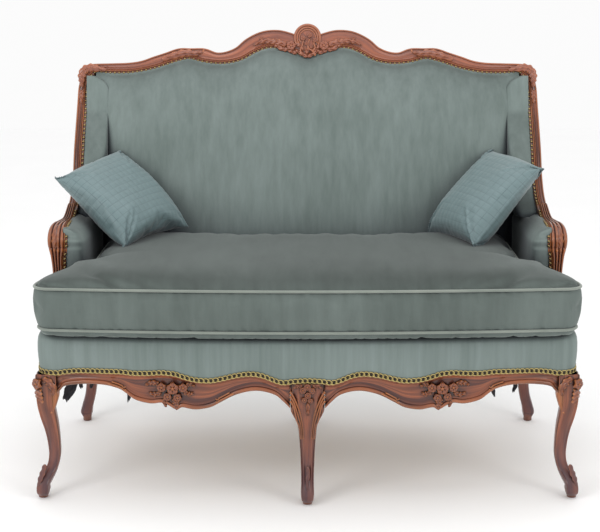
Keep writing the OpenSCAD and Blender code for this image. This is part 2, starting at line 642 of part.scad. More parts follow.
// Edge roll: the padded band over the rails, round both front corners
corner_steps = 4;
roll_side = concat(
    [for (y = [side_lip_y, mix(side_lip_y, side_start_y, 0.5), side_start_y + overrun])
        [-corner_x - corner_r, y, X, rail_z, rail_z]],
    [[-corner_x - corner_r, side_start_y + soft_gap, X, rail_z, tongue_z]]);
roll_corner = [for (k = [1 : corner_steps - 1])
    let (a = 180 + 90 * k / corner_steps, u = [-cos(a), -sin(a), 0])
    [-corner_x - corner_r * u[0], corner_face_y - corner_r * u[1], u,
        mix(rail_z, block_top, k / corner_steps), tongue_z]];
roll_front = [for (s = front_row) [-s[0], s[1], Y, s[3], tongue_z]];
roll_left = concat(roll_side, roll_corner, roll_front);
function roll_ring(s) =
    let (base = s[3] + soft_gap, tongue = s[4] + soft_gap, u = s[2])
    [for (p = [[soft_gap, base], [rabbet * 0.6, base], [rabbet - soft_gap, tongue],
        [rail_t, tongue], [rail_t, deck_z - roll_round / 3], [rail_t * 0.6, deck_z],
        [rail_t * 0.1, deck_z - roll_round * 0.15], [-roll_bulge * 0.75, deck_z - roll_round * 0.8],
        [-roll_bulge, mix(base, deck_z, 0.5)], [-roll_bulge * 0.7, base + roll_round * 0.6]])
        [s[0], s[1], 0] + p[0] * u + p[1] * Z];
roll_rings = [for (s = roll_left) roll_ring(s)];
function mirrored_rings(rings) = [for (r = flipped(rings)) [for (p = r) opposite(p)]];
module edge_roll() color(velvet) skin(concat(roll_rings, mirrored_rings(roll_rings)));

// Gimp braid along the lower edge of the band
gimp_h = 10;
gimp_t = 2.5;
function gimp_ring(s) =
    let (base = s[3] + soft_gap, u = s[2], out = -fit_gap - roll_bulge * 0.3)
    [for (p = [[out - gimp_t, base], [out, base], [out - roll_bulge * 0.2, base + gimp_h],
        [out - roll_bulge * 0.2 - gimp_t, base + gimp_h]])
        [s[0], s[1], 0] + p[0] * u + p[1] * Z];
gimp_rings = [for (s = roll_left) gimp_ring(s)];
module seat_gimp() color(brass) skin(concat(gimp_rings, mirrored_rings(gimp_rings)));

// Side upholstery: the wing pads stand between the wing rails and the back pad
wing_pad_w = 60;
arm_pad_w = 46;
pad_outer_x = wing_x - wing_w / 2 - soft_gap;
pad_low_z = deck_z + 3 * soft_gap;
wing_zy = [for (s = wing_row) [s[2], s[1]]];
function wing_y(z) = lookup(z, wing_zy);
post_front_set = post_t * 0.65 + soft_gap;
function pad_back_y(z) = post_y(z) - post_front_set;
arm_pad_drop = 8;
arm_pad_top = joint_z - wing_t / 2 - arm_pad_drop;
wing_pad_low = arm_pad_top + 3 * soft_gap;
wing_pad_top = crest_z + post_top_share * shell_rise - 3 * soft_gap;
wing_roll_set = wing_t * 0.4;
wing_least_t = 7;
// rows: share of the height, and how far the pad's rounded ends fill out
wing_pad_shares = [[0, 0.5], [0.03, 0.85], [0.1, 1], [0.22, 1], [0.36, 1], [0.5, 1], [0.64, 1],
    [0.78, 1], [0.9, 0.9], [0.97, 0.7], [1, 0.5]];
function side_pad_ring(z, front, width, fill) =
    let (back = pad_back_y(z), full = back - front, r = min(width * 0.3, full * 0.5),
        y = back - full * fill, inner = pad_outer_x - width * (0.7 + 0.3 * fill))
    [[-pad_outer_x, y + r * 0.8, z], [-pad_outer_x + width * 0.12, y + r * 0.2, z],
        [-mix(pad_outer_x, inner, 0.5), y, z], [-mix(pad_outer_x, inner, 0.85), y + r * 0.25, z],
        [-inner, y + r, z], [-inner, back, z], [-pad_outer_x, back, z]];
function wing_front(z) = min(wing_y(z) - wing_roll_set, pad_back_y(z) - wing_least_t);
module wing_pad() color(velvet) skin([for (s = wing_pad_shares)
    let (z = mix(wing_pad_low, wing_pad_top, s[0])) side_pad_ring(z, wing_front(z), wing_pad_w, s[1])]);
module wing_pad_left() wing_pad();
module wing_pad_right() right() wing_pad();

// Arm pads: from the deck up to the arm rails, between the supports and the back posts
arm_pad_shares = [[0, 0.9], [0.06, 1], [0.35, 1], [0.65, 1], [0.85, 1], [0.95, 0.9], [1, 0.6]];
arm_pad_front = arm_y + support_set * 0.6;
arm_pad_set = scroll_x - scroll_w / 2;
module arm_pad() color(velvet) translate([pad_outer_x - arm_pad_set + soft_gap, 0, 0])
    skin([for (s = arm_pad_shares) let (z = mix(pad_low_z, arm_pad_top, s[0]))
        side_pad_ring(z, arm_pad_front, arm_pad_w, s[1])]);
module arm_pad_left() arm_pad();
module arm_pad_right() right() arm_pad();

// Webbing of the back: straps across, and others up from the stay rails to the crest
back_web_zs = [for (t = [0.25, 0.45, 0.65, 0.83]) mix(stay_z, post_top, t)];
lean_step = 10;
function lean(z) = atan2(post_y(z + lean_step) - post_y(z - lean_step), 2 * lean_step);
cloth_web_gap = 2 * fit_gap;
pad_back_set = stay_t / 2 + 2 * web_t + soft_gap;
function strap_half(z) = lookup(z - web_w / 2, [for (s = post_row) [s[2], -s[0] - s[3] / 2]]) - 2 * web_clear;
module back_webbing() color(jute) {
    for (z = back_web_zs)
        translate([0, post_y(z) - upright_t / 2 - web_t - cloth_web_gap, z])
            rotate([-lean(z), 0, 0]) translate([-strap_half(z), 0, -web_w / 2])
                cube([2 * strap_half(z), web_t, web_w]);
}

// Back pad: crowned, with its top edge along the crest rail
pad_half = pad_outer_x - wing_pad_w - 2 * soft_gap;
crest_lows = [for (s = crest_shares) [s[0] * half_w, crest_z + s[2] * shell_rise]];
crest_middle_low = [0, crest_z + crest_middle_share[2] * shell_rise];
function crest_low(x) = lookup(abs(x), flipped(concat(crest_lows, [crest_middle_low])));
pad_xs_share = [-1, -0.98, -0.93, -0.83, -0.7, -0.56, -0.42, -0.28, -0.14, 0,
    0.14, 0.28, 0.42, 0.56, 0.7, 0.83, 0.93, 0.98, 1];
// rows: share of the height, share of the thickness
pad_profile_share = [[0, 0.75], [0.12, 0.95], [0.35, 1], [0.6, 0.98], [0.82, 0.85], [0.94, 0.55], [1, 0.2]];
pad_edge_share = [[0, 1], [0.7, 0.97], [0.9, 0.85], [0.98, 0.7], [1, 0.55]];
function pad_ring(t) =
    let (x = t * pad_half, top = crest_low(x) - 2 * soft_gap, full = lookup(abs(t), pad_edge_share))
    concat(
        [for (p = flipped(pad_profile_share)) let (z = mix(pad_low_z, top, p[0]))
            [x, post_y(z) - pad_back_set - p[1] * full * back_pad_t, z]],
        [for (p = pad_profile_share) if (p[0] == 0 || p[0] == 0.35 || p[0] == 0.6 || p[0] == 1)
            let (z = mix(pad_low_z, top, p[0])) [x, post_y(z) - pad_back_set, z]]);
module back_pad() color(velvet) skin([for (t = pad_xs_share) pad_ring(t)]);

// Outside cloth of the sides, set in between the support, the arm, the wing and the back post
side_cloth_t = 3.5;
side_cloth_x = wing_x + wing_w / 2;
cloth_clear = 2 * fit_gap;
function edge_behind(row, i) =
    let (n = len(row) - 1, way = unit(place(row[min(i + 1, n)]) - place(row[max(i - 1, 0)])),
        off = row[i][4] / 2 + cloth_clear)
    [row[i][1] + off * way[2], row[i][2] - off * way[1]];
support_edge = [for (i = [len(support_row) - 1 : -1 : 2])
    [support_row[i][1] + support_row[i][4] / 2 + 2 * cloth_clear,
        max(support_row[i][2], rail_z + cloth_clear)]];
arm_edge = [for (i = [3 : -1 : 1]) [arm_row[i][1], arm_row[i][2] - arm_row[i][4] / 2 - cloth_clear]];
wing_edge = [for (i = [1 : len(wing_row) - 2]) edge_behind(wing_row, i)];
cloth_back = [for (t = [0.9, 0.6, 0.3, 0.05, 0]) let (z = mix(rail_z + cloth_clear, corner_z, t))
    [post_y(z) + post_t / 2, z]];
module outside_side() color(velvet) translate([-side_cloth_x, 0, 0]) rotate([90, 0, 90])
    linear_extrude(side_cloth_t) polygon(concat(support_edge, arm_edge, wing_edge, cloth_back));
module outside_side_left() outside_side();
module outside_side_right() right() outside_side();

// Outside cloth of the back, from the back rails up behind the crest
back_cloth_t = 3;
back_cloth_up = 14;
back_cloth_gap = fit_gap;
back_cloth_rows = concat(
    [[block_z, rear_knee_y + block_w / 2], [rail_z, rear_knee_y + block_w / 2]],
    [for (s = post_row) [s[2], s[1] + max(s[4], crest_t) / 2]],
    [[crest_z + shell_rise, post_y(crest_z + shell_rise) + crest_t / 2]]);
function back_cloth_y(z) = lookup(z, back_cloth_rows) + back_cloth_gap;
// rows: upward from the corner's foot, and inward, as shares of the corner's drop
shoulder_shares = [[0, 0], [0.69, 0.37], [1, 0.6]];
function back_cloth_x(z) = lookup(z, [for (s = shoulder_shares)
    [corner_z + s[0] * corner_drop, rear_block_x + block_w / 2 - s[1] * corner_drop]]);
function back_cloth_ring(t) =
    let (top = crest_low(t * post_top_x) + back_cloth_up,
        zs = concat([block_z, rail_z], [for (k = [1 : 6]) mix(rail_z, top, k / 6)]))
    concat([for (z = flipped(zs)) [t * back_cloth_x(z), back_cloth_y(z), z]],
        [for (z = zs) [t * back_cloth_x(z), back_cloth_y(z) + back_cloth_t, z]]);
module outside_back() color(velvet)
    skin([for (t = [-1, -0.9, -0.75, -0.6, -0.45, -0.3, -0.15, 0, 0.15, 0.3, 0.45, 0.6, 0.75, 0.9, 1])
        back_cloth_ring(t)]);

// Seat cushion: a loose cushion with ears in front of the arm supports
ear_over = 3;
ear_x = half_w + ear_over;
cushion_front = 95;
cushion_bow = 33;
cushion_z = deck_z + soft_gap;
seam_h = 20;
seam_low = cushion_z + seam_h;
ear_rear_y = arm_y - scroll_w * 0.6;
cushion_rear_y = pad_back_y(seam_low) - back_pad_t - 4 * soft_gap;
cushion_waist_x = pad_outer_x - wing_pad_w - overrun - piping_d;
cushion_taper = 8;
ear_round = 26;
ear_turn = 52;
side_sag_share = 0.08;
cushion_bulge = 4;
function cushion_front_y(x) =
    let (d = max(0, abs(x) - (ear_x - ear_round)))
    front_y - cushion_front + cushion_bow * pow(x / ear_x, 2) + ear_round
        - sqrt(max(0, ear_round * ear_round - d * d));
function cushion_rear(x) = abs(x) > cushion_waist_x
    ? mix(cushion_front_y(ear_x), ear_rear_y, sqrt(max(0, min(1, (ear_x - abs(x)) / ear_turn)))) :
    mix(cushion_rear_y, cushion_rear_y - ear_round, pow(abs(x) / cushion_waist_x, 12));
function seam_high(x, y) = seam_low + cushion_h
    * (1 - side_sag_share * (y - front_y + cushion_front) / (cushion_rear_y - front_y + cushion_front)
        * pow(x / ear_x, 2));
// rows across the depth: share of the way back, share of the crown
crown_shares = [[0.97, 0.72], [0.75, 0.95], [0.5, 1], [0.25, 0.85], [0.06, 0.4]];
function crown_fall(x, y) =
    let (ahead = max(0, min(1, (y - ear_rear_y) / ear_round)),
        half = mix(ear_x, cushion_waist_x + cushion_taper, ahead))
    1 - pow(min(1, abs(x) / half), 10);
function cushion_ring(x) =
    let (f = cushion_front_y(x), r = cushion_rear(x), b = cushion_bulge)
    concat(
        [[x, f + 6 * b, cushion_z], [x, mix(f, r, 0.5), cushion_z], [x, r - 6 * b, cushion_z],
            [x, r - b, seam_low], [x, r, seam_low + cushion_h * 0.35], [x, r - b, seam_high(x, r)]],
        [for (s = crown_shares) let (y = mix(f, r, s[0]))
            [x, y, seam_high(x, y) + s[1] * crown_fall(x, y) * cushion_crown]],
        [[x, f + b, seam_high(x, f)], [x, f, mix(seam_low, seam_high(x, f), 0.5)], [x, f + b, seam_low],
            [x, f + 3 * b, seam_low - seam_h / 2]]);
cushion_half_xs = concat(
    [for (t = [0, 0.15, 0.3, 0.45, 0.6, 0.75, 0.88, 0.96]) t * (cushion_waist_x - cushion_taper)],
    [cushion_waist_x - cushion_taper / 2, cushion_waist_x + overrun / 2],
    [for (t = [0.35, 0.6, 0.8, 0.93, 1]) mix(cushion_waist_x, ear_x - piping_d / 2 - soft_gap, t)]);
cushion_xs = concat([for (x = flipped(cushion_half_xs)) -x],
    [for (i = [1 : len(cushion_half_xs) - 1]) cushion_half_xs[i]]);
module seat_cushion() color(velvet) skin([for (x = cushion_xs) cushion_ring(x)]);

// Piping cords sewn along the cushion's upper and lower seams
cord_set = piping_d / 2 + soft_gap;
cord_out = cord_set - cushion_bulge;
function seam_z(x, y, high) = high ? seam_high(x, y) : seam_low;
function seam_half(high) = concat(
    [for (x = cushion_half_xs) if (x < ear_x - ear_round)
        [x, cushion_front_y(x) - cord_out, seam_z(x, cushion_front_y(x), high)]],
    [for (a = [30, 60]) let (x = ear_x - ear_round + (ear_round + cord_out) * sin(a),
        y = cushion_front_y(ear_x) - (ear_round + cord_out) * cos(a)) [x, y, seam_z(x, y, high)]],
    [for (t = [0, 0.2, 0.4, 0.6, 0.8, 0.95]) let (y = mix(cushion_front_y(ear_x), ear_rear_y, t),
        x = ear_x + cord_out - ear_turn * t * t) [x, y, seam_z(x, y, high)]],
    [for (x = [ear_x - ear_turn - cord_set, cushion_waist_x + cushion_taper + cord_set])
        [x, ear_rear_y + cord_out, seam_z(x, ear_rear_y, high)]],
    [for (t = [0.06, 0.3, 0.55, 0.8]) let (y = mix(ear_rear_y, cushion_rear_y, t))
        [cushion_waist_x + overrun / 2 + cord_set, y, seam_z(cushion_waist_x, y, high)]],
    [for (x = flipped([for (t = [0, 0.3, 0.6, 0.88]) t * cushion_waist_x]))
        [x, cushion_rear(x) + cord_out, seam_z(x, cushion_rear(x), high)]]);
function seam_loop(high) = concat(seam_half(high),
    [for (i = [len(seam_half(high)) - 2 : -1 : 1]) opposite(seam_half(high)[i])]);
function loop_ring(row, i, d) =
    let (n = len(row), dir = unit(row[(i + 1) % n] - row[(i + n - 1) % n]),
        u = unit(cross(Z, dir)), v = cross(dir, u))
    [for (k = [0 : wire_sides - 1]) row[i] + d / 2 * (cos(360 * k / wire_sides) * u
        + sin(360 * k / wire_sides) * v)];
module closed_tube(row, d) {
    n = wire_sides;
    m = len(row);
    polyhedron([for (i = [0 : m - 1]) each loop_ring(row, i, d)],
        [for (i = [0 : m - 1], j = [0 : n - 1])
            let (a = i * n + j, b = i * n + (j + 1) % n, c = ((i + 1) % m) * n + j,
                e = ((i + 1) % m) * n + (j + 1) % n)
            each [[a, c, e], [a, e, b]]], convexity = 10);
}
module cushion_piping() color(velvet) {
    closed_tube(seam_loop(true), piping_d);
    closed_tube(seam_loop(false), piping_d);
}

// Scatter cushions: square, crowned, with sides drawn in between the corners
scatter_ring_sides = 6;
draw_in_share = 0.07;
settle_share = 0.2;
function square_point(k) =
    let (n = scatter_ring_sides, side = floor(k / n), t = 2 * (k % n) / n - 1)
    side == 0 ? [t, -1] : side == 1 ? [1, t] : side == 2 ? [-t, 1] : [-1, -t];
function scatter_ring(s, face) = [for (k = [0 : 4 * scatter_ring_sides - 1])
    let (q = s * square_point(k), u = q[0], v = q[1],
        bulge = pow(max(0, (1 - u * u) * (1 - v * v)), 0.45))
    [scatter_w / 2 * u * (1 - draw_in_share * (1 - v * v) * abs(u)),
        scatter_w / 2 * v * (1 - draw_in_share * (1 - u * u) * abs(v)),
        face * scatter_t / 2 * bulge * (1 + settle_share * v)]];
seam_t = 2;
scatter_rings = concat(
    [for (s = [0.2, 0.5, 0.75, 0.92]) scatter_ring(s, -1)],
    [[for (p = scatter_ring(1, 0)) p - seam_t / 2 * Z], [for (p = scatter_ring(1, 0)) p + seam_t / 2 * Z]],
    [for (s = [0.92, 0.75, 0.5, 0.2]) scatter_ring(s, 1)]);

// Each leans on the back. Its centre is set in from the front feet, forward of the rear feet, and up
// from the seat by more than a share of its length
scatter_left_set = [161.4, 169, 26.9];
scatter_right_set = [186.4, 172.8, 28.9];
scatter_up_share = 0.38;
scatter_base_z = seam_low + cushion_h + scatter_up_share * scatter_w;
scatter_left_centre = [scatter_left_set[0] - half_w, rear_y - scatter_left_set[1],
    scatter_base_z + scatter_left_set[2]];
scatter_right_centre = [half_w - scatter_right_set[0], rear_y - scatter_right_set[1],
    scatter_base_z + scatter_right_set[2]];

// Direction of an upper edge, and the direction down its slope
scatter_left_way = [0.49, 0.866, 0.1];
scatter_left_slope = [0.69, -0.31, -0.655];
scatter_right_way = [-0.339, 0.941, -0.024];
scatter_right_slope = [-0.634, -0.247, -0.733];
module leaning(centre, way, slope) {
    u = unit(way);
    v = unit(slope - (slope * u) * u);
    n = cross(u, v);
    skin([for (r = scatter_rings) [for (p = r) centre + p[0] * u + p[1] * v + p[2] * n]]);
}
module scatter_cushion_left() color(silk)
    leaning(scatter_left_centre, scatter_left_way, scatter_left_slope);
module scatter_cushion_right() color(silk)
    leaning(scatter_right_centre, scatter_right_way, scatter_right_slope);

// Rows of round-headed nails, spaced evenly along a line
nail_h = 8;
nail_proud = 2;
function lengths(row) = [for (i = 0, l = 0; i < len(row);
    l = l + (i + 1 < len(row) ? norm(row[i + 1] - row[i]) : 0), i = i + 1) l];
function along(row, ls, s) = [for (k = [0 : 2]) lookup(s, [for (i = [0 : len(row) - 1]) [ls[i], row[i][k]]])];
function spaced(row) =
    let (ls = lengths(row), total = ls[len(ls) - 1], n = floor(total / nail_pitch))
    [for (i = [0 : n - 1]) along(row, ls, (i + 0.5) * total / n)];
crest_nail_row = [for (s = [for (i = [1 : len(crest_shares) - 1]) crest_shares[i]])
    let (z = crest_z + s[2] * shell_rise + nail_d * 1.1)
    [-s[0] * half_w, post_y(z) - crest_t / 2 + nail_h / 2 - nail_proud, z]];
crest_nail_spots = spaced(crest_nail_row);
module crest_nails() color(brass) for (p = crest_nail_spots, side = [-1, 1])
    translate([side * p[0], p[1], p[2]]) rotate([-90, 0, 0]) cylinder(d = nail_d, h = nail_h, center = true);
function front_edge(row, i, share) =
    let (n = len(row) - 1, way = unit(place(row[min(i + 1, n)]) - place(row[max(i - 1, 0)])),
        off = row[i][4] * share)
    [row[i][0] + row[i][3] / 2 - nail_h / 2 + fit_gap, row[i][1] - off * way[2], row[i][2] + off * way[1]];
nail_edge_share = 0.2;
side_nail_rows = [
    [for (i = [len(wing_row) - 2 : -1 : 1]) front_edge(wing_row, i, nail_edge_share)],
    [for (i = [1 : len(arm_row) - 2]) front_edge(arm_row, i, -nail_edge_share)]];
module side_nails() color(brass) for (row = side_nail_rows, p = spaced(row))
    translate(p) rotate([0, 90, 0]) cylinder(d = nail_d, h = nail_h, center = true);
module side_nails_left() side_nails();
module side_nails_right() right() side_nails();

// Torn scraps of the black cloth that once closed the seat from below
// rows: place along the rail as a share, width, drop
scrap_t = 1.2;
scrap_w = 46;
scrap_drop = 30;
scrap_hem = 12;
scrap_shares = [[-0.9, 1, 1], [-0.62, 0.7, 0.5], [0.38, 0.9, 0.8], [0.8, 1.3, 1], [0.93, 0.5, 0.7]];
function scrap_points(w, h) = [[0, scrap_hem], [w * scrap_w, scrap_hem], [w * scrap_w, 0],
    [w * scrap_w * 0.7, -h * scrap_drop * 0.6], [w * scrap_w * 0.45, -h * scrap_drop],
    [w * scrap_w * 0.2, -h * scrap_drop * 0.3], [0, 0]];
module scrap(w, h) rotate([90, 0, 0]) linear_extrude(scrap_t) polygon(scrap_points(w, h));
side_scrap_share = 0.45;
module dust_cover() color(black_cloth) {
    for (s = scrap_shares) translate([s[0] * rear_end_x - s[1] * scrap_w / 2,
        rear_knee_y - rail_t / 2 - fit_gap, block_z]) scrap(s[1], s[2]);
    translate([-inner_side(mix(side_start_y, side_end_y, side_scrap_share) + scrap_w) + fit_gap,
        mix(side_start_y, side_end_y, side_scrap_share), web_z - scrap_hem - fit_gap])
        rotate([0, 0, 90]) scrap(1, 1);
}

crest_rail();
wing_rail_left();
wing_rail_right();
arm_rail_left();
arm_rail_right();
arm_support_left();
arm_support_right();
rear_leg_left();
rear_leg_right();
rear_leg_centre();
front_leg_left();
front_leg_right();
front_leg_centre();
front_rail_left();
front_rail_right();
side_rail_left();
side_rail_right();
back_rail_left();
back_rail_right();
stay_rail_left();
stay_rail_right();
cross_rail();
corner_blocks();
block_screws();
frame_dowels();
seat_webbing();
seat_springs();
spring_hessian();
edge_roll();
seat_deck();
back_webbing();
back_pad();
outside_back();
wing_pad_left();
wing_pad_right();
arm_pad_left();
arm_pad_right();
outside_side_left();
outside_side_right();
seat_cushion();
cushion_piping();
scatter_cushion_left();
scatter_cushion_right();
crest_nails();
side_nails_left();
side_nails_right();
seat_gimp();
dust_cover();
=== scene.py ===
import json
import math
import bpy
import numpy as np
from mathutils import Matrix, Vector, noise


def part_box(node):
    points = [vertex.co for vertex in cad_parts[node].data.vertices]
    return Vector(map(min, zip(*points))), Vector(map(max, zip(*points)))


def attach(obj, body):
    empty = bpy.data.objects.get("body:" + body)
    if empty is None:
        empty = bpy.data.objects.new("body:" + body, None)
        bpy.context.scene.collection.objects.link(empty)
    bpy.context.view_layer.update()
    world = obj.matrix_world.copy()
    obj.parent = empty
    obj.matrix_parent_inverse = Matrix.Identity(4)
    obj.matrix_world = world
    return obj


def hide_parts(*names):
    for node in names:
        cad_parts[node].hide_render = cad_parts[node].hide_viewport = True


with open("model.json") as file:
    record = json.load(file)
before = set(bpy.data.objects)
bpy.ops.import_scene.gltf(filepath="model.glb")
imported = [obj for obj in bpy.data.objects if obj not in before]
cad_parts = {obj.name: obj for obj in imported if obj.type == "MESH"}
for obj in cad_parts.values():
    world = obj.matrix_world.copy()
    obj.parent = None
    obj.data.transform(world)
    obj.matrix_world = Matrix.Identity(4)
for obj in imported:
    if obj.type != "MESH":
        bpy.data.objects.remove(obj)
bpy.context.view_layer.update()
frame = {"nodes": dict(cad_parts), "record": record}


# Camera
# The photograph looks at the sofa squarely from the front, from about 3.3 m before its feet and
# from well above the seat, with a long lens. The sofa stands a little right of the middle.
camera_place = (0.0, -3.569, 1.321)
camera_tilt = math.radians(12.72)
bpy.ops.object.camera_add(location=camera_place, rotation=(math.pi / 2 - camera_tilt, 0.0, 0.0))
camera = bpy.context.object
camera.data.sensor_width = 36.0
camera.data.lens = 83.8
camera.data.shift_x = -0.0125
bpy.context.scene.camera = camera
bpy.context.scene.view_settings.view_transform = "Standard"


# Floor and light
# A white paper floor, a bright white room, two large soft lamps in front and one overhead.
# Functions for colours, nodes and materials start here, because the paper is the first finish.
def colour(code):
    """An sRGB hex colour as linear values."""
    shares = [int(code[i:i + 2], 16) / 255 for i in (1, 3, 5)]
    return [s / 12.92 if s <= 0.04045 else ((s + 0.055) / 1.055) ** 2.4 for s in shares] + [1.0]


def node(tree, kind, inputs, **settings):
    """Adds a node with its settings. An input is a value, a node, or a node and its output."""
    made = tree.nodes.new("ShaderNode" + kind)
    for name, value in settings.items():
        setattr(made, name, value)
    for name, value in inputs.items():
        if isinstance(value, bpy.types.Node):
            value = (value, 0)
        if isinstance(value, tuple) and isinstance(value[0], bpy.types.Node):
            tree.links.new(value[0].outputs[value[1]], made.inputs[name])
        else:
            made.inputs[name].default_value = value
    return made


def finish_of(name, roughness, **sockets):
    """A material with the values that are the same all over it set on its shader."""
    material = bpy.data.materials.new(name)
    material.use_nodes = True
    shader = material.node_tree.nodes["Principled BSDF"]
    shader.inputs["Roughness"].default_value = roughness
    for socket, value in sockets.items():
        shader.inputs[socket.replace("_", " ")].default_value = value
    return material, material.node_tree, shader


def ranged(tree, value, low, high, start=0.0, end=1.0):
    """A value's place between two others, as a place between a start and an end."""
    return node(tree, "MapRange", {"Value": value, "From Min": low, "From Max": high,
        "To Min": start, "To Max": end})


def blend(tree, share, under, over):
    """A mix of two colours. Each is a hex code or a node that is itself such a mix."""
    under, over = (colour(c) if isinstance(c, str) else (c, 2) for c in (under, over))
    return node(tree, "Mix", {0: share, 6: under, 7: over}, data_type="RGBA")


def long_noise(tree, place, scale, detail, **inputs):
    """Noise with a scale of its own along each axis, so that it runs in streaks."""
    mapped = node(tree, "Mapping", {"Vector": place, "Scale": scale})
    return node(tree, "TexNoise", {"Vector": mapped, "Scale": 1.0, "Detail": detail, **inputs})


def link(tree, source, shader, socket, output=0):
    tree.links.new(source.outputs[output], shader.inputs[socket])


paper, tree, shader = finish_of("white_paper", 0.7)
paper_place = node(tree, "TexCoord", {})
grain = node(tree, "TexNoise", {"Vector": (paper_place, "Object"), "Scale": 3.0, "Detail": 2.0})
tone = blend(tree, grain, "#fcfcfc", "#ffffff")
link(tree, tone, shader, "Base Color", 2)
bpy.ops.mesh.primitive_plane_add(size=14.0, location=(0.0, 0.0, 0.0))
floor = bpy.context.object
floor.name = "floor"
floor.data.materials.append(paper)

world = bpy.data.worlds.new("white_room")
bpy.context.scene.world = world
world.use_nodes = True
world.node_tree.nodes["Background"].inputs["Color"].default_value = colour("#ffffff")
world.node_tree.nodes["Background"].inputs["Strength"].default_value = 0.97
# rows: place, size, power
lamps = [((-2.2, -2.5, 2.2), 1.3, 26.0), ((2.4, -2.3, 2.0), 1.2, 18.0), ((0.0, -0.5, 3.0), 1.8, 16.0)]
aim = Vector((0.0, 0.0, 0.6))
for place, size, power in lamps:
    turn = (aim - Vector(place)).to_track_quat("-Z", "Y").to_euler()
    bpy.ops.object.light_add(type="AREA", location=place, rotation=turn)
    bpy.context.object.data.size = size
    bpy.context.object.data.energy = power


# Crest rail
# Show wood of carved and waxed walnut, moulded along its whole face, with a shell and flower
# sprigs at the middle, leaves at the shoulders and more leaves wrapped round both corners.
leg_sway = 0.030
rail_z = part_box("side_rail_left")[1][2]
feet = {mount["name"]: Vector(mount["pos_m"]) for mount in frame["record"]["mounts"]}
half_w = feet["foot_front_right"][0]
front_y = feet["foot_front_right"][1]
rear_y = feet["foot_rear_right"][1]
rear_knee_y = rear_y - 0.6 * leg_sway
crest_z = 0.998
back_lean = 0.118
shell_rise = 0.124
crest_t = 0.034
wing_t = 0.030
wing_w = 0.028
corner_drop = 0.060
corner_z = crest_z - corner_drop
wing_x = half_w - 0.95 * leg_sway
X_AXIS = np.array([1.0, 0.0, 0.0])
Y_AXIS = np.array([0.0, 1.0, 0.0])
Z_AXIS = np.array([0.0, 0.0, 1.0])


def post_y(z):
    """Middle of the back posts, which lean more and more towards the crest."""
    t = (z - rail_z) / (crest_z - rail_z)
    return rear_knee_y + back_lean * (t + t * abs(t)) / 2


def smooth(rows, steps):
    """A smooth row through given stations."""
    p = np.array(rows, float)
    made = []
    for i in range(len(p) - 1):
        a, b, c, d = p[max(i - 1, 0)], p[i], p[i + 1], p[min(i + 2, len(p) - 1)]
        for k in range(steps):
            t = k / steps
            bend = (2 * a - 5 * b + 4 * c - d) + t * (3 * b - 3 * c + d - a)
            made.append(b + t / 2 * ((c - a) + t * bend))
    return np.array(made + [p[-1]])


def mix(a, b, t):
    return a + (b - a) * t


def unit(v):
    return v / np.linalg.norm(v, axis=-1, keepdims=True)


def directions(points, first=None, last=None):
    """Direction of a row of points at each of them."""
    way = unit(np.gradient(points, axis=0))
    if first is not None:
        way[0] = first
    if last is not None:
        way[-1] = last
    return way


def placed(name, mesh):
    """A mesh as a piece in the scene, the only one that is selected."""
    piece = bpy.data.objects.new(name, mesh)
    bpy.context.scene.collection.objects.link(piece)
    pick(piece)
    return piece


def pick(piece):
    bpy.ops.object.select_all(action="DESELECT")
    piece.select_set(True)
    bpy.context.view_layer.objects.active = piece


def solid(name, shells, finish, body="frame", nodes=(), edge=60.0):
    """One piece of closed shells, each a row of rings, with a map that runs along each shell."""
    points, faces, places = [], [], []
    first = 0
    for rings in shells:
        rings = np.asarray(rings, float)
        m, n = rings.shape[:2]
        ends = [rings[0].mean(axis=0), rings[-1].mean(axis=0)]
        i, j = np.meshgrid(np.arange(m - 1), np.arange(n), indexing="ij")
        a, b = i * n + j, i * n + (j + 1) % n
        quads = np.stack([a, a + n, b + n, b], axis=-1).reshape(-1, 4)
        steps = np.linalg.norm(np.diff(rings.mean(axis=1), axis=0), axis=1)
        along = np.concatenate([[0.0], np.cumsum(steps)])
        round_it = np.linalg.norm(np.diff(rings[m // 2], axis=0, append=rings[m // 2][:1]), axis=1)
        around = np.concatenate([[0.0], np.cumsum(round_it)])
        quad_map = np.stack([np.stack([along[i], around[j]], -1), np.stack([along[i + 1], around[j]], -1),
            np.stack([along[i + 1], around[j + 1]], -1), np.stack([along[i], around[j + 1]], -1)], axis=2)
        k = np.arange(n)
        caps = np.concatenate([np.stack([np.full(n, m * n), k, (k + 1) % n], -1),
            np.stack([np.full(n, m * n + 1), (m - 1) * n + (k + 1) % n, (m - 1) * n + k], -1)])
        rim = np.stack([around[k], around[k + 1], around[k + 1]], -1)
        reach = np.repeat([[0.0], [along[-1]]], n, axis=0)
        cap_map = np.stack([np.broadcast_to(reach, (2 * n, 3)), np.tile(rim, (2, 1))], -1)
        corners = rings.reshape(-1, 3)
        p = corners[quads]
        volume = np.einsum("ij,ij->", p[:, 0] - corners[0], np.cross(p[:, 1] - p[:, 0], p[:, 2] - p[:, 0])
            + np.cross(p[:, 2] - p[:, 0], p[:, 3] - p[:, 0]))
        lists = [(quads, quad_map.reshape(-1, 4, 2)), (caps, cap_map)]
        for rows, spots in lists:
            if volume < 0:
                rows, spots = rows[:, ::-1], spots[:, ::-1]
            faces += (rows + first).tolist()
            places.append(spots.reshape(-1, 2))
        points.append(np.concatenate([corners, ends]))
        first += m * n + 2
    mesh = bpy.data.meshes.new(name)
    mesh.from_pydata(np.concatenate(points).tolist(), [], faces)
    mesh.uv_layers.new(name="grain").data.foreach_set("uv", np.concatenate(places).ravel())
    mesh.materials.append(finish)
    piece = placed(name, mesh)
    bpy.ops.object.shade_smooth_by_angle(angle=math.radians(edge))
    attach(piece, body)
    if nodes:
        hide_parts(*nodes)
    return piece
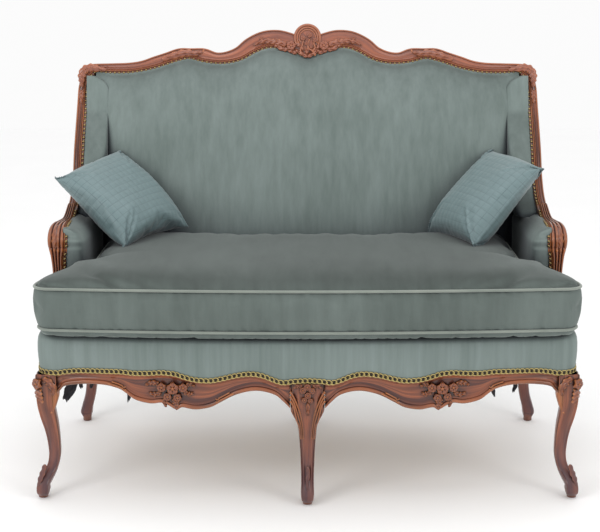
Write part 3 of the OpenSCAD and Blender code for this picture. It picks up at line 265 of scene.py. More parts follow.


# Walnut under wax: the grain runs along each member, lines about 1 mm apart. The hollows of the
# carving hold dark old wax, and the gloss is soft. Painted highlights turn the high places orange
# brown, painted shade darkens the legs towards the feet, and painted light makes the crest paler.
walnut, tree, shader = finish_of("waxed_walnut", 0.36, IOR=1.45, Coat_Weight=0.45, Coat_Roughness=0.07)
grain_map = node(tree, "UVMap", {}, uv_map="grain")
fibre = long_noise(tree, grain_map, (14.0, 420.0, 1.0), 6.0, Roughness=0.62)
bands = long_noise(tree, grain_map, (4.0, 60.0, 1.0), 3.0, Distortion=0.8)
wood_light = ranged(tree, bands, 0.35, 0.68)
wood_tone = blend(tree, wood_light, "#4a1f14", "#9a532f")
line_share = ranged(tree, fibre, 0.52, 0.75, 0.0, 0.7)
lined = blend(tree, line_share, wood_tone, "#220d0a")
hollow = node(tree, "AmbientOcclusion", {"Distance": 0.014}, samples=8)
old_wax = ranged(tree, (hollow, "AO"), 0.4, 0.95, 0.95, 0.0)
in_hollows = blend(tree, old_wax, lined, "#160a10")
shape = node(tree, "NewGeometry", {})
# Painted highlight: the high places, found by their pointiness, turn orange brown
highlight_share = ranged(tree, (shape, "Pointiness"), 0.515, 0.6, 0.0, 0.55)
highlighted = blend(tree, highlight_share, in_hollows, "#c4793c")
wood_place = node(tree, "TexCoord", {})
wood_height = node(tree, "SeparateXYZ", {0: (wood_place, "Object")})
# Painted shade: the wood darkens towards the feet
foot_shade_share = ranged(tree, (wood_height, "Z"), 0.26, 0.06, 0.0, 0.62)
foot_shaded = blend(tree, foot_shade_share, highlighted, "#4a3038")
# Painted light: the wood turns paler towards the top, at the crest
crest_light_share = ranged(tree, (wood_height, "Z"), 0.85, 1.0, 0.0, 0.3)
waxed = blend(tree, crest_light_share, foot_shaded, "#b5705c")
link(tree, waxed, shader, "Base Color", 2)
rough = ranged(tree, fibre, 0.3, 0.8, 0.26, 0.46)
link(tree, rough, shader, "Roughness")
pores = node(tree, "Bump", {"Height": fibre, "Strength": 0.12, "Distance": 0.0006})
link(tree, pores, shader, "Normal")

# rows: place, upper edge, lower edge, as shares of the half width and of the shell's rise
crest_rows = [
    [0.9, 0.105, -0.105], [0.83, 0.115, -0.129], [0.756, 0.13, -0.121], [0.7, 0.177, -0.08],
    [0.65, 0.266, -0.02], [0.597, 0.355, 0.07], [0.545, 0.444, 0.15], [0.5, 0.444, 0.185],
    [0.443, 0.444, 0.113], [0.39, 0.355, 0.078], [0.34, 0.379, 0.085], [0.288, 0.492, 0.15],
    [0.24, 0.69, 0.29], [0.185, 0.823, 0.4], [0.13, 0.85, 0.41], [0.085, 0.8, 0.36],
    [0.055, 0.74, 0.32], [0.03, 0.68, 0.27], [0.0, 0.66, 0.21]]


def crest_station(side, s):
    low, up = crest_z + s[2] * shell_rise, crest_z + s[1] * shell_rise
    return [side * s[0] * half_w, post_y((low + up) / 2), (low + up) / 2, up - low, crest_t]


def crest_corner(side):
    made = []
    for inward, up in ((0, 0), (0.07, 0.37), (0.17, 0.67), (0.43, 0.94)):
        z = corner_z + up * corner_drop
        made.append([side * (wing_x - inward * corner_drop), post_y(z), z, wing_w, mix(wing_t, crest_t, up)])
    return made


# Moulding: share of the width, mm from there, share of the depth, mm from there. It starts at the
# edge beside the cloth: a rebate for the nailed cloth, two fine beads, a broad rounded band and a
# bead along the outer edge.
moulding = [
    (0, 0, 1, -9), (0, 0.8, 1, -5), (0, 5.4, 1, -4.6), (0, 6.1, 1, -3), (0, 6.9, 1, -1), (0, 8.2, 1, -0.2),
    (0, 9.4, 1, -1), (0, 9.9, 1, -2.8), (0, 10.4, 1, -2.8), (0, 10.9, 1, -1.2), (0, 12, 1, -0.6),
    (0, 13, 1, -1.4), (0.04, 13, 1, -3), (0.1, 12.6, 1, -3), (0.3, 8, 1, -1.4), (0.6, 0, 1, -0.8),
    (0.85, -7, 1, -1.4), (1, -6.6, 1, -3), (1, -5.8, 1, -3), (1, -5.2, 1, -1.2), (1, -3.6, 1, -0.2),
    (1, -1.8, 1, -1.2), (1, -0.4, 1, -4), (1, 0, 1, -9),
    (1, 0, 0, 7), (1, -2, 0, 1.6), (1, -7, 0, 0), (0, 7, 0, 0), (0, 2, 0, 1.6), (0, 0, 0, 7)]
MM = 0.001


def moulded(row, way, front, profile):
    """Rings of a moulded member: stations of x, y, z, width, depth, and where its face looks."""
    outer = np.cross(front, way)
    rings = []
    for i, (x, y, z, width, depth) in enumerate(row):
        across = np.array([(p[0] - 0.5) * width + p[1] * MM for p in profile])
        out = np.array([(p[2] - 0.5) * depth + p[3] * MM for p in profile])
        rings.append(np.array([x, y, z]) + across[:, None] * outer[i] + out[:, None] * front[i])
    return np.array(rings)


crest_row = smooth(crest_corner(-1) + [crest_station(-1, s) for s in crest_rows[:-1]]
    + [crest_station(1, s) for s in crest_rows[::-1]] + crest_corner(1)[::-1], 6)
crest_way = directions(crest_row[:, :3], Z_AXIS, -Z_AXIS)
crest_lean = (post_y(crest_z + 0.01) - post_y(crest_z - 0.01)) / 0.02
crest_back = unit(Y_AXIS - crest_lean * Z_AXIS)
crest_front = -unit(crest_back - (crest_way @ crest_back)[:, None] * crest_way)
crest_shells = [moulded(crest_row, crest_way, crest_front, moulding)]


def tube(points, radii, sides=8):
    """A round stem or scroll through points, as rings."""
    points = np.asarray(points, float)
    way = directions(points)
    up = np.array([0.31, 0.17, 0.93])
    rings = []
    for p, w, r in zip(points, way, np.broadcast_to(radii, len(points))):
        u = unit(np.cross(w, up))
        v = np.cross(w, u)
        up = -v
        turn = 2 * math.pi * np.arange(sides) / sides
        rings.append(p + r * (np.cos(turn)[:, None] * u + np.sin(turn)[:, None] * v))
    return np.array(rings)


def leaf(spine, out, width, rise, lobes=5, sink=0.003):
    """A carved leaf along a spine: lobed edges, a ridge in the middle, fingers swept forward."""
    spine = smooth(spine, max(2, 24 // (len(spine) - 1)))
    out = unit(np.broadcast_to(np.asarray(out, float), spine.shape))
    way = directions(spine)
    side = unit(np.cross(out, way))
    s = np.linspace(-1, 1, 11)
    rings = []
    for i, t in enumerate(np.linspace(0, 1, len(spine))):
        lobe = 0.5 - 0.5 * math.cos(2 * math.pi * lobes * t)
        half = width / 2 * (math.sin(math.pi * (0.06 + 0.9 * t) ** 0.8) ** 0.7) * (0.72 + 0.28 * lobe)
        finger = 0.5 + 0.5 * np.cos(2 * math.pi * (lobes * t - 0.9 * np.abs(s)))
        high = rise * ((1 - s ** 2) ** 0.5 * (0.55 + 0.45 * finger) + 0.35 * np.exp(-(s / 0.16) ** 2))
        high *= min(1.0, 4 * t + 0.3, 5 * (1 - t) + 0.3)
        top = spine[i] + (half * s)[:, None] * side[i] + high[:, None] * out[i]
        low = spine[i] + (0.8 * half * s[::-2])[:, None] * side[i] - sink * out[i]
        rings.append(np.concatenate([top, low]))
    return np.array(rings)


def flower(centre, out, radius, petals=5, turn=0.0):
    """A carved flower: cupped petals round a raised button."""
    centre, out = np.asarray(centre, float), unit(np.asarray(out, float))
    u = unit(np.cross(out, [0.2, 0.1, 1.0]))
    v = np.cross(out, u)
    made = []
    for k in range(petals):
        angle = turn + 2 * math.pi * k / petals
        way = math.cos(angle) * u + math.sin(angle) * v
        spine = [centre + way * radius * r + out * radius * h for r, h in
            ((0.12, 0.16), (0.45, 0.3), (0.78, 0.34), (1.02, 0.2))]
        made.append(leaf(spine, out, 1.05 * radius, 0.2 * radius, lobes=1, sink=0.35 * radius))
    button = [centre + out * radius * h for h in (-0.2, 0.3, 0.46, 0.55, 0.6)]
    made.append(tube(button, radius * np.array([0.3, 0.3, 0.26, 0.17, 0.05]), sides=10))
    return made


def face_point(x, z, proud=0.0):
    """A point on the crest's face."""
    y = post_y(z) - crest_t / 2 - 0.001 - proud
    return np.array([x, y, z])


crest_out = -crest_back


def crest_leaf(places, width, rise, lobes=5, proud=0.0):
    return leaf([face_point(x, z, proud) for x, z in places], crest_out, width, rise, lobes)


# rows: places from tip to tip, width, rise, lobes. First the shoulder leaf, then the two that wrap the
# corner, along the rail and down to the wing, then four that trail away from the shell
crest_leaves = (
    (((0.405, 1.026), (0.372, 1.036), (0.34, 1.043), (0.312, 1.041), (0.292, 1.046)), 0.024, 0.006, 6),
    (((0.634, 0.985), (0.621, 0.998), (0.604, 1.003), (0.583, 1.000), (0.56, 0.997)), 0.026, 0.005, 5),
    (((0.606, 1.004), (0.622, 0.996), (0.629, 0.98), (0.6285, 0.965), (0.628, 0.95)), 0.025, 0.005, 5),
    (((0.058, 1.064), (0.078, 1.071), (0.098, 1.073), (0.118, 1.071)), 0.02, 0.0045, 4),
    (((0.1, 1.079), (0.118, 1.076), (0.135, 1.071), (0.152, 1.064)), 0.013, 0.004, 3),
    (((0.055, 1.052), (0.068, 1.053), (0.083, 1.06), (0.094, 1.064)), 0.014, 0.004, 3),
    (((0.03, 1.042), (0.042, 1.046), (0.054, 1.052), (0.066, 1.056)), 0.013, 0.004, 3))
for side in (-1, 1):
    for places, width, rise, lobes in crest_leaves:
        crest_shells.append(crest_leaf([(side * x, z) for x, z in places], width, rise, lobes))
    # The shoulder leaf's curled tip stands over the rail's upper edge
    crest_shells.append(tube([face_point(side * x, z, -0.004) for x, z in
        ((0.318, 1.040), (0.302, 1.040), (0.292, 1.046), (0.289, 1.053), (0.293, 1.055))],
        [0.004, 0.0045, 0.004, 0.003, 0.0015]))
    crest_shells += flower(face_point(side * 0.046, 1.062), crest_out, 0.0135, 5, 0.4 * side)
    crest_shells += flower(face_point(side * 0.087, 1.076), crest_out, 0.007, 5, 0.9)
    crest_shells += flower(face_point(side * 0.128, 1.082), crest_out, 0.006, 4, 0.2)

# Shell over the middle: a round boss with stepped rolls round its rim, and a sprig before it
hood_r = 0.0375
hood_z = 1.0835
hood_turns = np.linspace(math.radians(-30), math.radians(210), 41)
for share, thick, proud in ((0.93, 0.0042, -0.002), (0.76, 0.0030, 0.0), (0.6, 0.0024, 0.001)):
    rim = [face_point(share * hood_r * math.cos(a), hood_z + share * hood_r * math.sin(a), proud)
        for a in hood_turns]
    crest_shells.append(tube(rim, thick, 10))
disc_turns = np.linspace(0, 2 * math.pi, 40, endpoint=False)
disc = [[face_point(r * hood_r * math.cos(a), hood_z + r * hood_r * math.sin(a), d) for a in disc_turns]
    for r, d in ((0.02, -0.024), (0.9, -0.024), (1.0, -0.018), (1.02, -0.010), (0.98, -0.004),
    (0.86, -0.001), (0.5, 0.0015), (0.02, 0.002))]
crest_shells.append(disc)
for x, z, r in ((-0.012, 1.083, 0.0075), (0.006, 1.091, 0.0075), (0.021, 1.078, 0.007),
        (-0.003, 1.069, 0.006)):
    crest_shells += flower(face_point(x, z, 0.004), crest_out, r, 5, 30 * x)
for places in (((0.022, 1.036), (0.014, 1.048), (0.003, 1.056), (0.001, 1.066), (0.006, 1.08)),
        ((-0.02, 1.04), (-0.019, 1.053), (-0.014, 1.066), (-0.011, 1.08)),
        ((0.014, 1.046), (0.021, 1.058), (0.018, 1.068), (0.021, 1.077))):
    crest_shells.append(tube(smooth([face_point(x, z, 0.003) for x, z in places], 4), 0.0024, 8))
for places in (((-0.012, 1.05), (-0.02, 1.062), (-0.031, 1.066), (-0.038, 1.06)),
        ((0.012, 1.05), (0.026, 1.055), (0.034, 1.066), (0.037, 1.078)),
        ((-0.004, 1.04), (0.0, 1.05), (0.006, 1.056), (0.014, 1.058)),
        ((0.0, 1.032), (-0.012, 1.038), (-0.025, 1.046), (-0.036, 1.05)),
        ((0.0, 1.032), (0.012, 1.038), (0.025, 1.046), (0.036, 1.05))):
    crest_shells.append(crest_leaf(places, 0.012, 0.004, 3, 0.001))
solid("carved_crest_rail", crest_shells, walnut, nodes=["crest_rail"])


# Wing rails, arm rails and arm supports
# The same walnut moulding runs down each wing, over the arm's scroll and down its curved support
# to the seat rail. Each is its own piece, dowelled to the next, with a leaf carved at the scroll.
arm_z = 0.650
arm_y = front_y + 0.205
arm_l = 0.215
joint_y = arm_y + arm_l
joint_z = arm_z - 0.002
scroll_w = 0.050
scroll_drop = 0.066
scroll_x = half_w - 0.83 * leg_sway
block_w = 0.050
support_x = half_w - 0.63 * leg_sway
support_set = 0.022


wing_row = [[-wing_x, joint_y, joint_z, wing_w, wing_t]] + [
    [-wing_x, mix(joint_y, post_y(corner_z), s[0]), mix(joint_z, corner_z, s[1]), wing_w, wing_t] for s in
    ((0.1, 0.015), (0.27, 0.1), (0.43, 0.25), (0.55, 0.45), (0.72, 0.66), (0.9, 0.87))] + [
    [-wing_x, post_y(corner_z), corner_z, wing_w, wing_t]]
# rows: share of the arm's length, of the scroll's drop, of its extra width, of its thickness
arm_row = [[-wing_x, joint_y, joint_z, wing_w, wing_t]] + [
    [-mix(wing_x, scroll_x, min(1, 1.2 * s[2])), arm_y + s[0] * arm_l, arm_z - s[1] * scroll_drop,
        mix(wing_w, scroll_w, s[2]), s[3] * wing_t] for s in
    ((0.7, 0.36, 0.15, 0.93), (0.42, 0.35, 0.42, 0.93), (0.22, 0.31, 0.7, 0.93),
     (0.075, 0.39, 0.9, 1), (-0.01, 0.62, 1, 1.07), (0.005, 0.88, 0.9, 1.1), (0.005, 1, 0.8, 1.13))]
scroll_foot = arm_row[-1]
# rows: share of the height, of the backward swing, of the block's width, of its depth
support_row = [scroll_foot] + [
    [-mix(scroll_x, support_x, min(1, 1.8 * (1 - s[0]))), arm_y + s[1] * support_set,
        mix(rail_z, scroll_foot[2], s[0]), s[2] * block_w, s[3] * block_w] for s in
    ((0.92, 0.25, 0.76, 0.62), (0.755, 0.9, 0.68, 0.6), (0.59, 1, 0.64, 0.62),
     (0.405, 0.55, 0.64, 0.66), (0.2, -0.15, 0.66, 0.76), (0, -0.65, 0.66, 0.92))]


def mirrored(shells):
    return [np.asarray(rings) * [-1, 1, 1] for rings in shells]


both_sides = (("left", list), ("right", mirrored))


def side_member(row, steps, first, last):
    """A side member's row in steps from its lower or front end up, its way, and where it faces."""
    row = smooth(row[::-1], steps)
    way = directions(row[:, :3], first, last)
    return row, way, np.cross(X_AXIS, way)


# Reeds: the arms and their supports carry four rounded reeds beside the rebate
reeded = list(moulding[:6])
for reed in range(4):
    for t, depth in ((0.0, -3.6), (0.12, -1.8), (0.3, -0.4), (0.5, 0.1), (0.7, -0.4), (0.88, -1.8)):
        share = (reed + t) / 4
        reeded.append((share, 8.6 * (1 - share), 1, depth))
reeded += [(1, 0, 1, -3.6), (1, 0, 1, -9)] + list(moulding[-6:])
wing_line = side_member(wing_row[::-1], 8, Y_AXIS, Z_AXIS)
arm_line = side_member(arm_row, 8, Z_AXIS, Y_AXIS)
support_line = side_member(support_row, 8, Z_AXIS, Z_AXIS)
wing_shells = [moulded(*wing_line, moulding)]
arm_shells = [moulded(*arm_line, reeded)]
support_shells = [moulded(*support_line, reeded)]


def line_leaf(line, first, last, across, width, rise, lobes, lift=0.0):
    """A leaf laid along part of a moulded line, at a share across its face."""
    row, way, front = line
    picks = np.linspace(first * (len(row) - 1), last * (len(row) - 1), 5).round().astype(int)
    outer = np.cross(front, way)
    spine = [row[i, :3] + outer[i] * across * row[i, 3] + front[i] * (row[i, 4] / 2 - 0.002 + lift)
        for i in picks]
    out = smooth(front[picks] + 0.5 * across * outer[picks], 6)
    return leaf(spine, out, width, rise, lobes)


arm_shells.append(line_leaf(arm_line, 0.16, 0.5, 0.12, 0.02, 0.003, 5))
wing_shells.append(line_leaf(wing_line, 0.99, 0.86, 0.12, 0.02, 0.004, 4))
for side, turned in both_sides:
    solid("moulded_wing_rail_" + side, turned(wing_shells), walnut, nodes=["wing_rail_" + side])
    solid("scrolled_arm_rail_" + side, turned(arm_shells), walnut, nodes=["arm_rail_" + side])
    solid("curved_arm_support_" + side, turned(support_shells), walnut, nodes=["arm_support_" + side])


# Front legs
# Walnut cabriole legs, each cut from one piece from its round peg up to the square block that the
# rails are dowelled into. Beads run down their edges, and the knees, toes and feet are carved.
joint_gap = 0.0004
peg_r = 0.012
peg_h = 0.014
plain_rail_h = 0.060
block_z = rail_z - plain_rail_h
show_drop = 0.036
block_top = rail_z - 0.64 * show_drop
centre_block_top = rail_z - show_drop - 0.0003
centre_block_w = 0.084
front_bow = 0.045
apron_h = 0.105
rail_t = 0.034
front_block_x = half_w - 0.73 * leg_sway
rail_end_x = front_block_x - block_w / 2


def face_y(x):
    """The front rails' face, bowed forward across the width."""
    return front_y - 0.012 - front_bow * (1 - (x / half_w) ** 2)


# rows: inward, backward, height, width, depth, as shares of the sway, the height and the block
front_leg_rows = [
    [0.03, 0, 0, 0.52, 0.52], [0.07, -0.2, 0.033, 0.68, 0.8], [0.17, -0.1, 0.085, 0.62, 0.7],
    [0.73, 0.45, 0.186, 0.58, 0.58], [0.98, 0.65, 0.29, 0.62, 0.6], [0.97, 0.6, 0.415, 0.66, 0.66],
    [0.87, 0.35, 0.542, 0.74, 0.74], [0.67, 0.05, 0.67, 0.84, 0.84], [0.55, -0.15, 0.794, 0.9, 0.9],
    [0.62, -0.05, 0.918, 0.96, 0.94], [0.73, 0, 1, 0.96, 0.94]]
centre_leg_rows = [
    [0, 0, 0, 0.52, 0.52], [0, -0.2, 0.033, 0.66, 0.8], [0, -0.15, 0.085, 0.68, 0.7],
    [0, 0.3, 0.186, 0.68, 0.6], [0, 0.5, 0.29, 0.72, 0.62], [0, 0.45, 0.415, 0.78, 0.68],
    [0, 0.25, 0.542, 0.88, 0.76], [0, 0.12, 0.65, 1.04, 0.86], [0, 0.05, 0.735, 1.5, 0.9],
    [0, 0.06, 0.78, 1.69, 0.92], [0, 0.2, 0.918, 1.69, 0.94], [0, 0.3, 1, 1.69, 0.92]]
rear_leg_rows = [
    [0, 0, 0, 0.52, 0.52], [-0.05, 0.13, 0.033, 0.66, 0.7], [0.1, 0.07, 0.1, 0.62, 0.62],
    [0.5, -0.33, 0.23, 0.6, 0.6], [0.75, -0.6, 0.42, 0.66, 0.66], [0.8, -0.73, 0.64, 0.78, 0.78],
    [0.75, -0.67, 0.86, 0.9, 0.9], [0.75, -0.6, 1, 0.92, 0.92]]


def leg_stations(rows, x, y, top):
    return [[x + s[0] * leg_sway, y + s[1] * leg_sway, mix(peg_h, top, s[2]), s[3] * block_w, s[4] * block_w]
        for s in rows]


def limb(stations, cut=0.0, flutes=0, steps=6, sides=56):
    """A rounded square limb. Beads edge its faces, or flutes are cut down the front one."""
    row = smooth(stations, steps)
    low, high = row[0][2], row[-1][2]
    way = directions(row[:, :3], Z_AXIS, Z_AXIS)
    turn = 2 * math.pi * (np.arange(sides) + 0.5) / sides
    c, s = np.cos(turn), np.sin(turn)
    a, b = np.sign(c) * np.abs(c) ** 0.55, np.sign(s) * np.abs(s) ** 0.55
    along = np.where(np.abs(a) > np.abs(b), b, a)
    groove = np.exp(-((np.abs(along) - 0.6) / 0.13) ** 2) + 0.45 * (np.abs(along) < 0.5)
    front_flutes = (0.5 - 0.5 * np.cos(math.pi * (along + 1) * flutes)) ** 0.6 * (np.abs(along) < 0.96)
    groove = np.where((b < 0) & (np.abs(b) >= np.abs(a)) & (flutes > 0), front_flutes, groove)
    rings = []
    for p, w in zip(row, way):
        u = unit(X_AXIS - w[0] * w)
        v = np.cross(w, u)
        t = (p[2] - low) / (high - low)
        deep = cut * min(1.0, 9 * t, 5 * (1 - t) + 0.25)
        half_x = p[3] / 2 - deep * groove * (np.abs(a) >= np.abs(b))
        half_y = p[4] / 2 - deep * groove * (np.abs(b) > np.abs(a))
        rings.append(p[:3] + (a * half_x)[:, None] * u + (b * half_y)[:, None] * v)
    return np.array(rings)


def peg(x, y):
    return [[[x + r * math.cos(a), y + r * math.sin(a), z]
        for a in np.linspace(0, 2 * math.pi, 24, endpoint=False)]
        for r, z in ((peg_r - 0.0015, 0), (peg_r, 0.0015), (peg_r, peg_h + 0.003))]


def block(x, y, width, low, high, depth=block_w, ease=0.002):
    """A square block with eased corners."""
    plan = [(1, 1), (-1, 1), (-1, -1), (1, -1)]
    corners = [(sx * (width / 2 - ease * (k == 0)), sy * (depth / 2 - ease * (k == 1))) for sx, sy in plan
        for k in ((0, 1) if sx * sy > 0 else (1, 0))]
    return [[[x + s * cx, y + s * cy, z] for cx, cy in corners] for s, z in
        ((0.96, low), (1, low + ease), (1, high - ease), (0.96, high))]


front_leg = [limb(leg_stations(front_leg_rows, -half_w, front_y, block_top), 0.0032), peg(-half_w, front_y),
    block(-front_block_x, front_y, block_w - joint_gap, block_z, block_top)]
# A bracket in one with the leg, where the rail's lower edge runs into it
# rows: how far below the top of the rails, how far short of the apron's end
bracket_rows = ((0.123, 0.0119), (0.113, 0.0084), (0.101, 0.0044), (0.091, 0.0014), (0.083, -0.0003),
    (0.07, -0.0003), (0.055, -0.0003))
bracket_root = -front_block_x - 0.0009
bracket = []
for below, short in bracket_rows:
    edge = -rail_end_x - short
    plan = ((bracket_root, -0.0175), (edge - 0.002, -0.0175), (edge, -0.0155), (edge, 0.018),
        (bracket_root, 0.018))
    bracket.append([[x, front_y + y, rail_z - below] for x, y in plan])
front_leg.append(bracket)
# Carved knee: a flower on the outer corner with leaves above and below it
knee = np.array([-half_w + 0.003, front_y - 0.024, 0.300])
knee_out = np.array([-0.62, -0.78, 0.0])
front_leg += flower(knee + 0.002 * knee_out, knee_out, 0.014, 5, 0.3)
foot = np.array([-half_w, front_y, 0.0])
# rows: places from tip to tip, the way they face, width, rise, lobes
knee_leaves = (
    ((knee + [0.001, 0.003, -0.012], knee + [0, 0.001, -0.026], knee + [0.003, 0.004, -0.044],
        knee + [0.007, 0.009, -0.064]), knee_out, 0.03, 0.005, 5),
    ((foot + [0.015, -0.026, 0.312], foot + [0.028, -0.027, 0.306], foot + [0.038, -0.0255, 0.29],
        foot + [0.039, -0.024, 0.268]), -Y_AXIS, 0.02, 0.004, 4),
    ((foot + [-0.004, -0.004, 0.312], foot + [-0.005, 0.01, 0.304], foot + [-0.004, 0.018, 0.288],
        foot + [-0.003, 0.02, 0.268]), -X_AXIS, 0.02, 0.004, 4))
for spine, way, width, rise, lobes in knee_leaves:
    front_leg.append(leaf(spine, way, width, rise, lobes))
# Carved toe: a low leaf on the front corner
toe = [foot + [0.009, -0.013, 0.088], foot + [0.003, -0.0155, 0.068], foot + [-0.004, -0.0195, 0.05],
    foot + [-0.009, -0.0215, 0.034]]
front_leg.append(leaf(toe, np.array([-0.5, -0.85, 0.1]), 0.017, 0.0022, 4))
for side, turned in both_sides:
    solid("cabriole_leg_" + side, turned(front_leg), walnut, nodes=["front_leg_" + side])

centre_y = front_y - front_bow
centre_leg = [limb(leg_stations(centre_leg_rows, 0.0, centre_y, centre_block_top), 0.003, flutes=4, sides=96),
    peg(0.0, centre_y),
    block(0.0, centre_y + 0.3 * leg_sway + 0.003, centre_block_w - joint_gap, block_z, centre_block_top,
        block_w - 0.006)]


def centre_face(x, z, proud=0.0):
    """A point on the middle leg's front."""
    t = (z - peg_h) / (centre_block_top - peg_h)
    shares = [[s[2], s[1] * leg_sway - s[4] * block_w / 2] for s in centre_leg_rows]
    return np.array([x, centre_y + np.interp(t, *zip(*shares)) - proud, z])


for x, z, r in ((0.0, 0.303, 0.009), (-0.011, 0.295, 0.0085), (0.011, 0.294, 0.0085),
        (0.001, 0.283, 0.0085), (-0.007, 0.272, 0.007), (0.007, 0.27, 0.007)):
    centre_leg += flower(centre_face(x, z, 0.002), -Y_AXIS, r, 5, 40 * x)
centre_leg.append(leaf([centre_face(0.001, z, 0.001) for z in (0.266, 0.254, 0.243, 0.232)],
    -Y_AXIS, 0.011, 0.004, 2))
centre_leg.append(leaf([centre_face(x, z, 0.0005) for x, z in
    ((0.0, 0.096), (0.002, 0.078), (-0.001, 0.06), (0.0, 0.042))], -Y_AXIS, 0.011, 0.003, 3))
for side in (-1, 1):
    centre_leg.append(leaf([centre_face(side * x, z, 0.001) for x, z in
        ((0.012, 0.302), (0.02, 0.306), (0.028, 0.304), (0.034, 0.298))], -Y_AXIS, 0.011, 0.003, 3))
    for reed in (0, 1, 2):
        lower = 0.011 * reed
        row = smooth([centre_face(side * x, z, 0.0004) for x, z in
            ((0.0415, 0.291 - lower), (0.034, 0.279 - lower), (0.0262 + 0.0018 * reed, 0.262 - lower),
             (0.0175 + 0.0035 * reed, 0.238 - lower), (0.012 + 0.004 * reed, 0.206),
             (0.0095 + 0.0035 * reed, 0.17))], 5)
        centre_leg.append(tube(row, np.linspace(0.0028, 0.0014, len(row)), 8))
solid("fluted_middle_leg", centre_leg, walnut, nodes=["front_leg_centre"])


# Rear legs
# Plain walnut cabriole legs in one piece with the posts of the back, which stay behind the cloth.
rear_block_x = half_w - 0.020 - 0.75 * leg_sway
post_t = 0.030
post_top = crest_z - 0.15 * shell_rise
upright_top = crest_z + 0.17 * shell_rise
post_rows = []
for inward, up, thick in (
        (0.03, 0.18, 1.3), (0.15, 0.4, 1.12), (0.4, 0.65, 1.03), (0.75, 0.85, 1), (1, 1, 1)):
    z = mix(rail_z, post_top, up)
    post_rows.append([inward * 0.036 - rear_block_x, post_y(z), z, thick * post_t, thick * post_t])
rear_leg = [limb(leg_stations(rear_leg_rows, 0.020 - half_w, rear_y, rail_z) + post_rows, sides=32),
    peg(0.020 - half_w, rear_y),
    block(-rear_block_x, rear_knee_y, block_w, block_z, rail_z)]
for side, turned in both_sides:
    solid("rear_leg_and_post_" + side, turned(rear_leg), walnut, nodes=["rear_leg_" + side])
upright = [[0.0, post_y(mix(rail_z, upright_top, t)), mix(rail_z, upright_top, t), 0.040, 0.022]
    for t in (0.12, 0.4, 0.7, 1)]
middle_rows = [[0, *s[1:]] for s in rear_leg_rows]
middle_leg = [limb(leg_stations(middle_rows, 0.0, rear_y, rail_z) + upright, sides=32),
    peg(0.0, rear_y),
    block(0.0, rear_knee_y, block_w, block_z, rail_z)]
solid("rear_middle_leg_and_upright", middle_leg, walnut, nodes=["rear_leg_centre"])


# Front rails
# The carved walnut apron: two bowed rails, scalloped below, between the corner legs and the middle
# leg. A bead edges them above and below, and a spray of flowers and leaves sits on each.
tongue_z = rail_z + 0.020
front_rail_rows = [
    [0.899, 0.514, 0.56], [0.852, 0.457, 0.444], [0.797, 0.438, 0.417], [0.742, 0.457, 0.417],
    [0.695, 0.533, 0.417], [0.67, 0.629, 0.444], [0.634, 0.79, 0.5], [0.579, 0.867, 0.472],
    [0.531, 0.848, 0.417], [0.484, 1, 0.5], [0.461, 0.943, 0.64], [0.414, 0.99, 0.861],
    [0.359, 0.933, 0.917], [0.315, 0.79, 0.778], [0.266, 0.629, 0.556], [0.211, 0.533, 0.417],
    [0.166, 0.533, 0.528], [0.119, 0.62, 0.861], [0.09, 0.77, 1]]
# From the corner to the middle: x, lower edge, cloth line
apron_row = smooth([[-rail_end_x, rail_z - 0.69 * apron_h, block_top],
    [0.008 - rail_end_x, rail_z - 0.62 * apron_h, block_top]]
    + [[-s[0] * half_w, rail_z - s[1] * apron_h, rail_z - s[2] * show_drop] for s in front_rail_rows]
    + [[-centre_block_w / 2, rail_z - 0.94 * apron_h, rail_z - 0.95 * show_drop]], 5)
# Across the rail: mm behind the face, mm from the cloth line or from the lower edge, which of them
apron_profile = [
    (34, 3, 0), (34, None, 0), (10, None, 0),
    (10, 0, 1), (1.6, 0, 1), (0.3, -1.2, 1), (-0.6, -3.4, 1), (0.2, -5.6, 1), (2.4, -6.8, 1),
    (3.2, -9, 1), (4.4, -14, 1),
    (5.2, 22, 0), (4.2, 16, 0), (3.0, 13, 0), (3.6, 11.6, 0), (1.4, 10.6, 0), (-0.4, 8, 0),
    (-0.8, 5.2, 0), (0.4, 2.4, 0), (3.2, 0.4, 0), (9, 0, 0), (30, 0, 0)]


def apron_point(p, x, low, high):
    z = tongue_z if p[1] is None else (high if p[2] else low) + p[1] * MM
    if p[1] is not None and p[2] == 0 and p[1] > 12:
        z = min(z, high - 0.014 - (22 - p[1]) * 0.3 * MM)
    return [x, face_y(x) + p[0] * MM, z]


apron = [[[apron_point(p, *s) for p in apron_profile] for s in apron_row]]


def apron_face(x, z, proud=0.0):
    return np.array([x, face_y(x) + 0.003 - proud, z])


def apron_leaf(places, width, rise, lobes=5, proud=0.0):
    return leaf([apron_face(-x, z, proud) for x, z in places], -Y_AXIS, width, rise, lobes)


for x, z, r in ((0.324, 0.295, 0.0155), (0.351, 0.297, 0.012), (0.299, 0.297, 0.0115),
        (0.337, 0.274, 0.0105), (0.313, 0.272, 0.0105)):
    apron += flower(apron_face(-x, z, 0.003), -Y_AXIS, r, 5, 50 * x)
for places, width, lobes in (
        (((0.322, 0.272), (0.318, 0.26), (0.316, 0.25), (0.3155, 0.24)), 0.018, 4),
        (((0.292, 0.302), (0.284, 0.305), (0.277, 0.304), (0.27, 0.299)), 0.014, 3),
        (((0.298, 0.286), (0.289, 0.282), (0.281, 0.281), (0.274, 0.284)), 0.014, 3),
        (((0.357, 0.303), (0.368, 0.307), (0.38, 0.306), (0.391, 0.3)), 0.015, 4),
        (((0.352, 0.284), (0.363, 0.279), (0.373, 0.279), (0.383, 0.283)), 0.014, 3),
        (((0.34, 0.27), (0.344, 0.262), (0.344, 0.254), (0.34, 0.247)), 0.013, 3)):
    apron.append(apron_leaf(places, width, 0.005, lobes, 0.001))


def low_edge(x, up=0.0):
    """A place on the apron's face, so far above its lower edge."""
    return apron_face(-x, float(np.interp(-x, apron_row[:, 0], apron_row[:, 1])) + up, 0.0032)


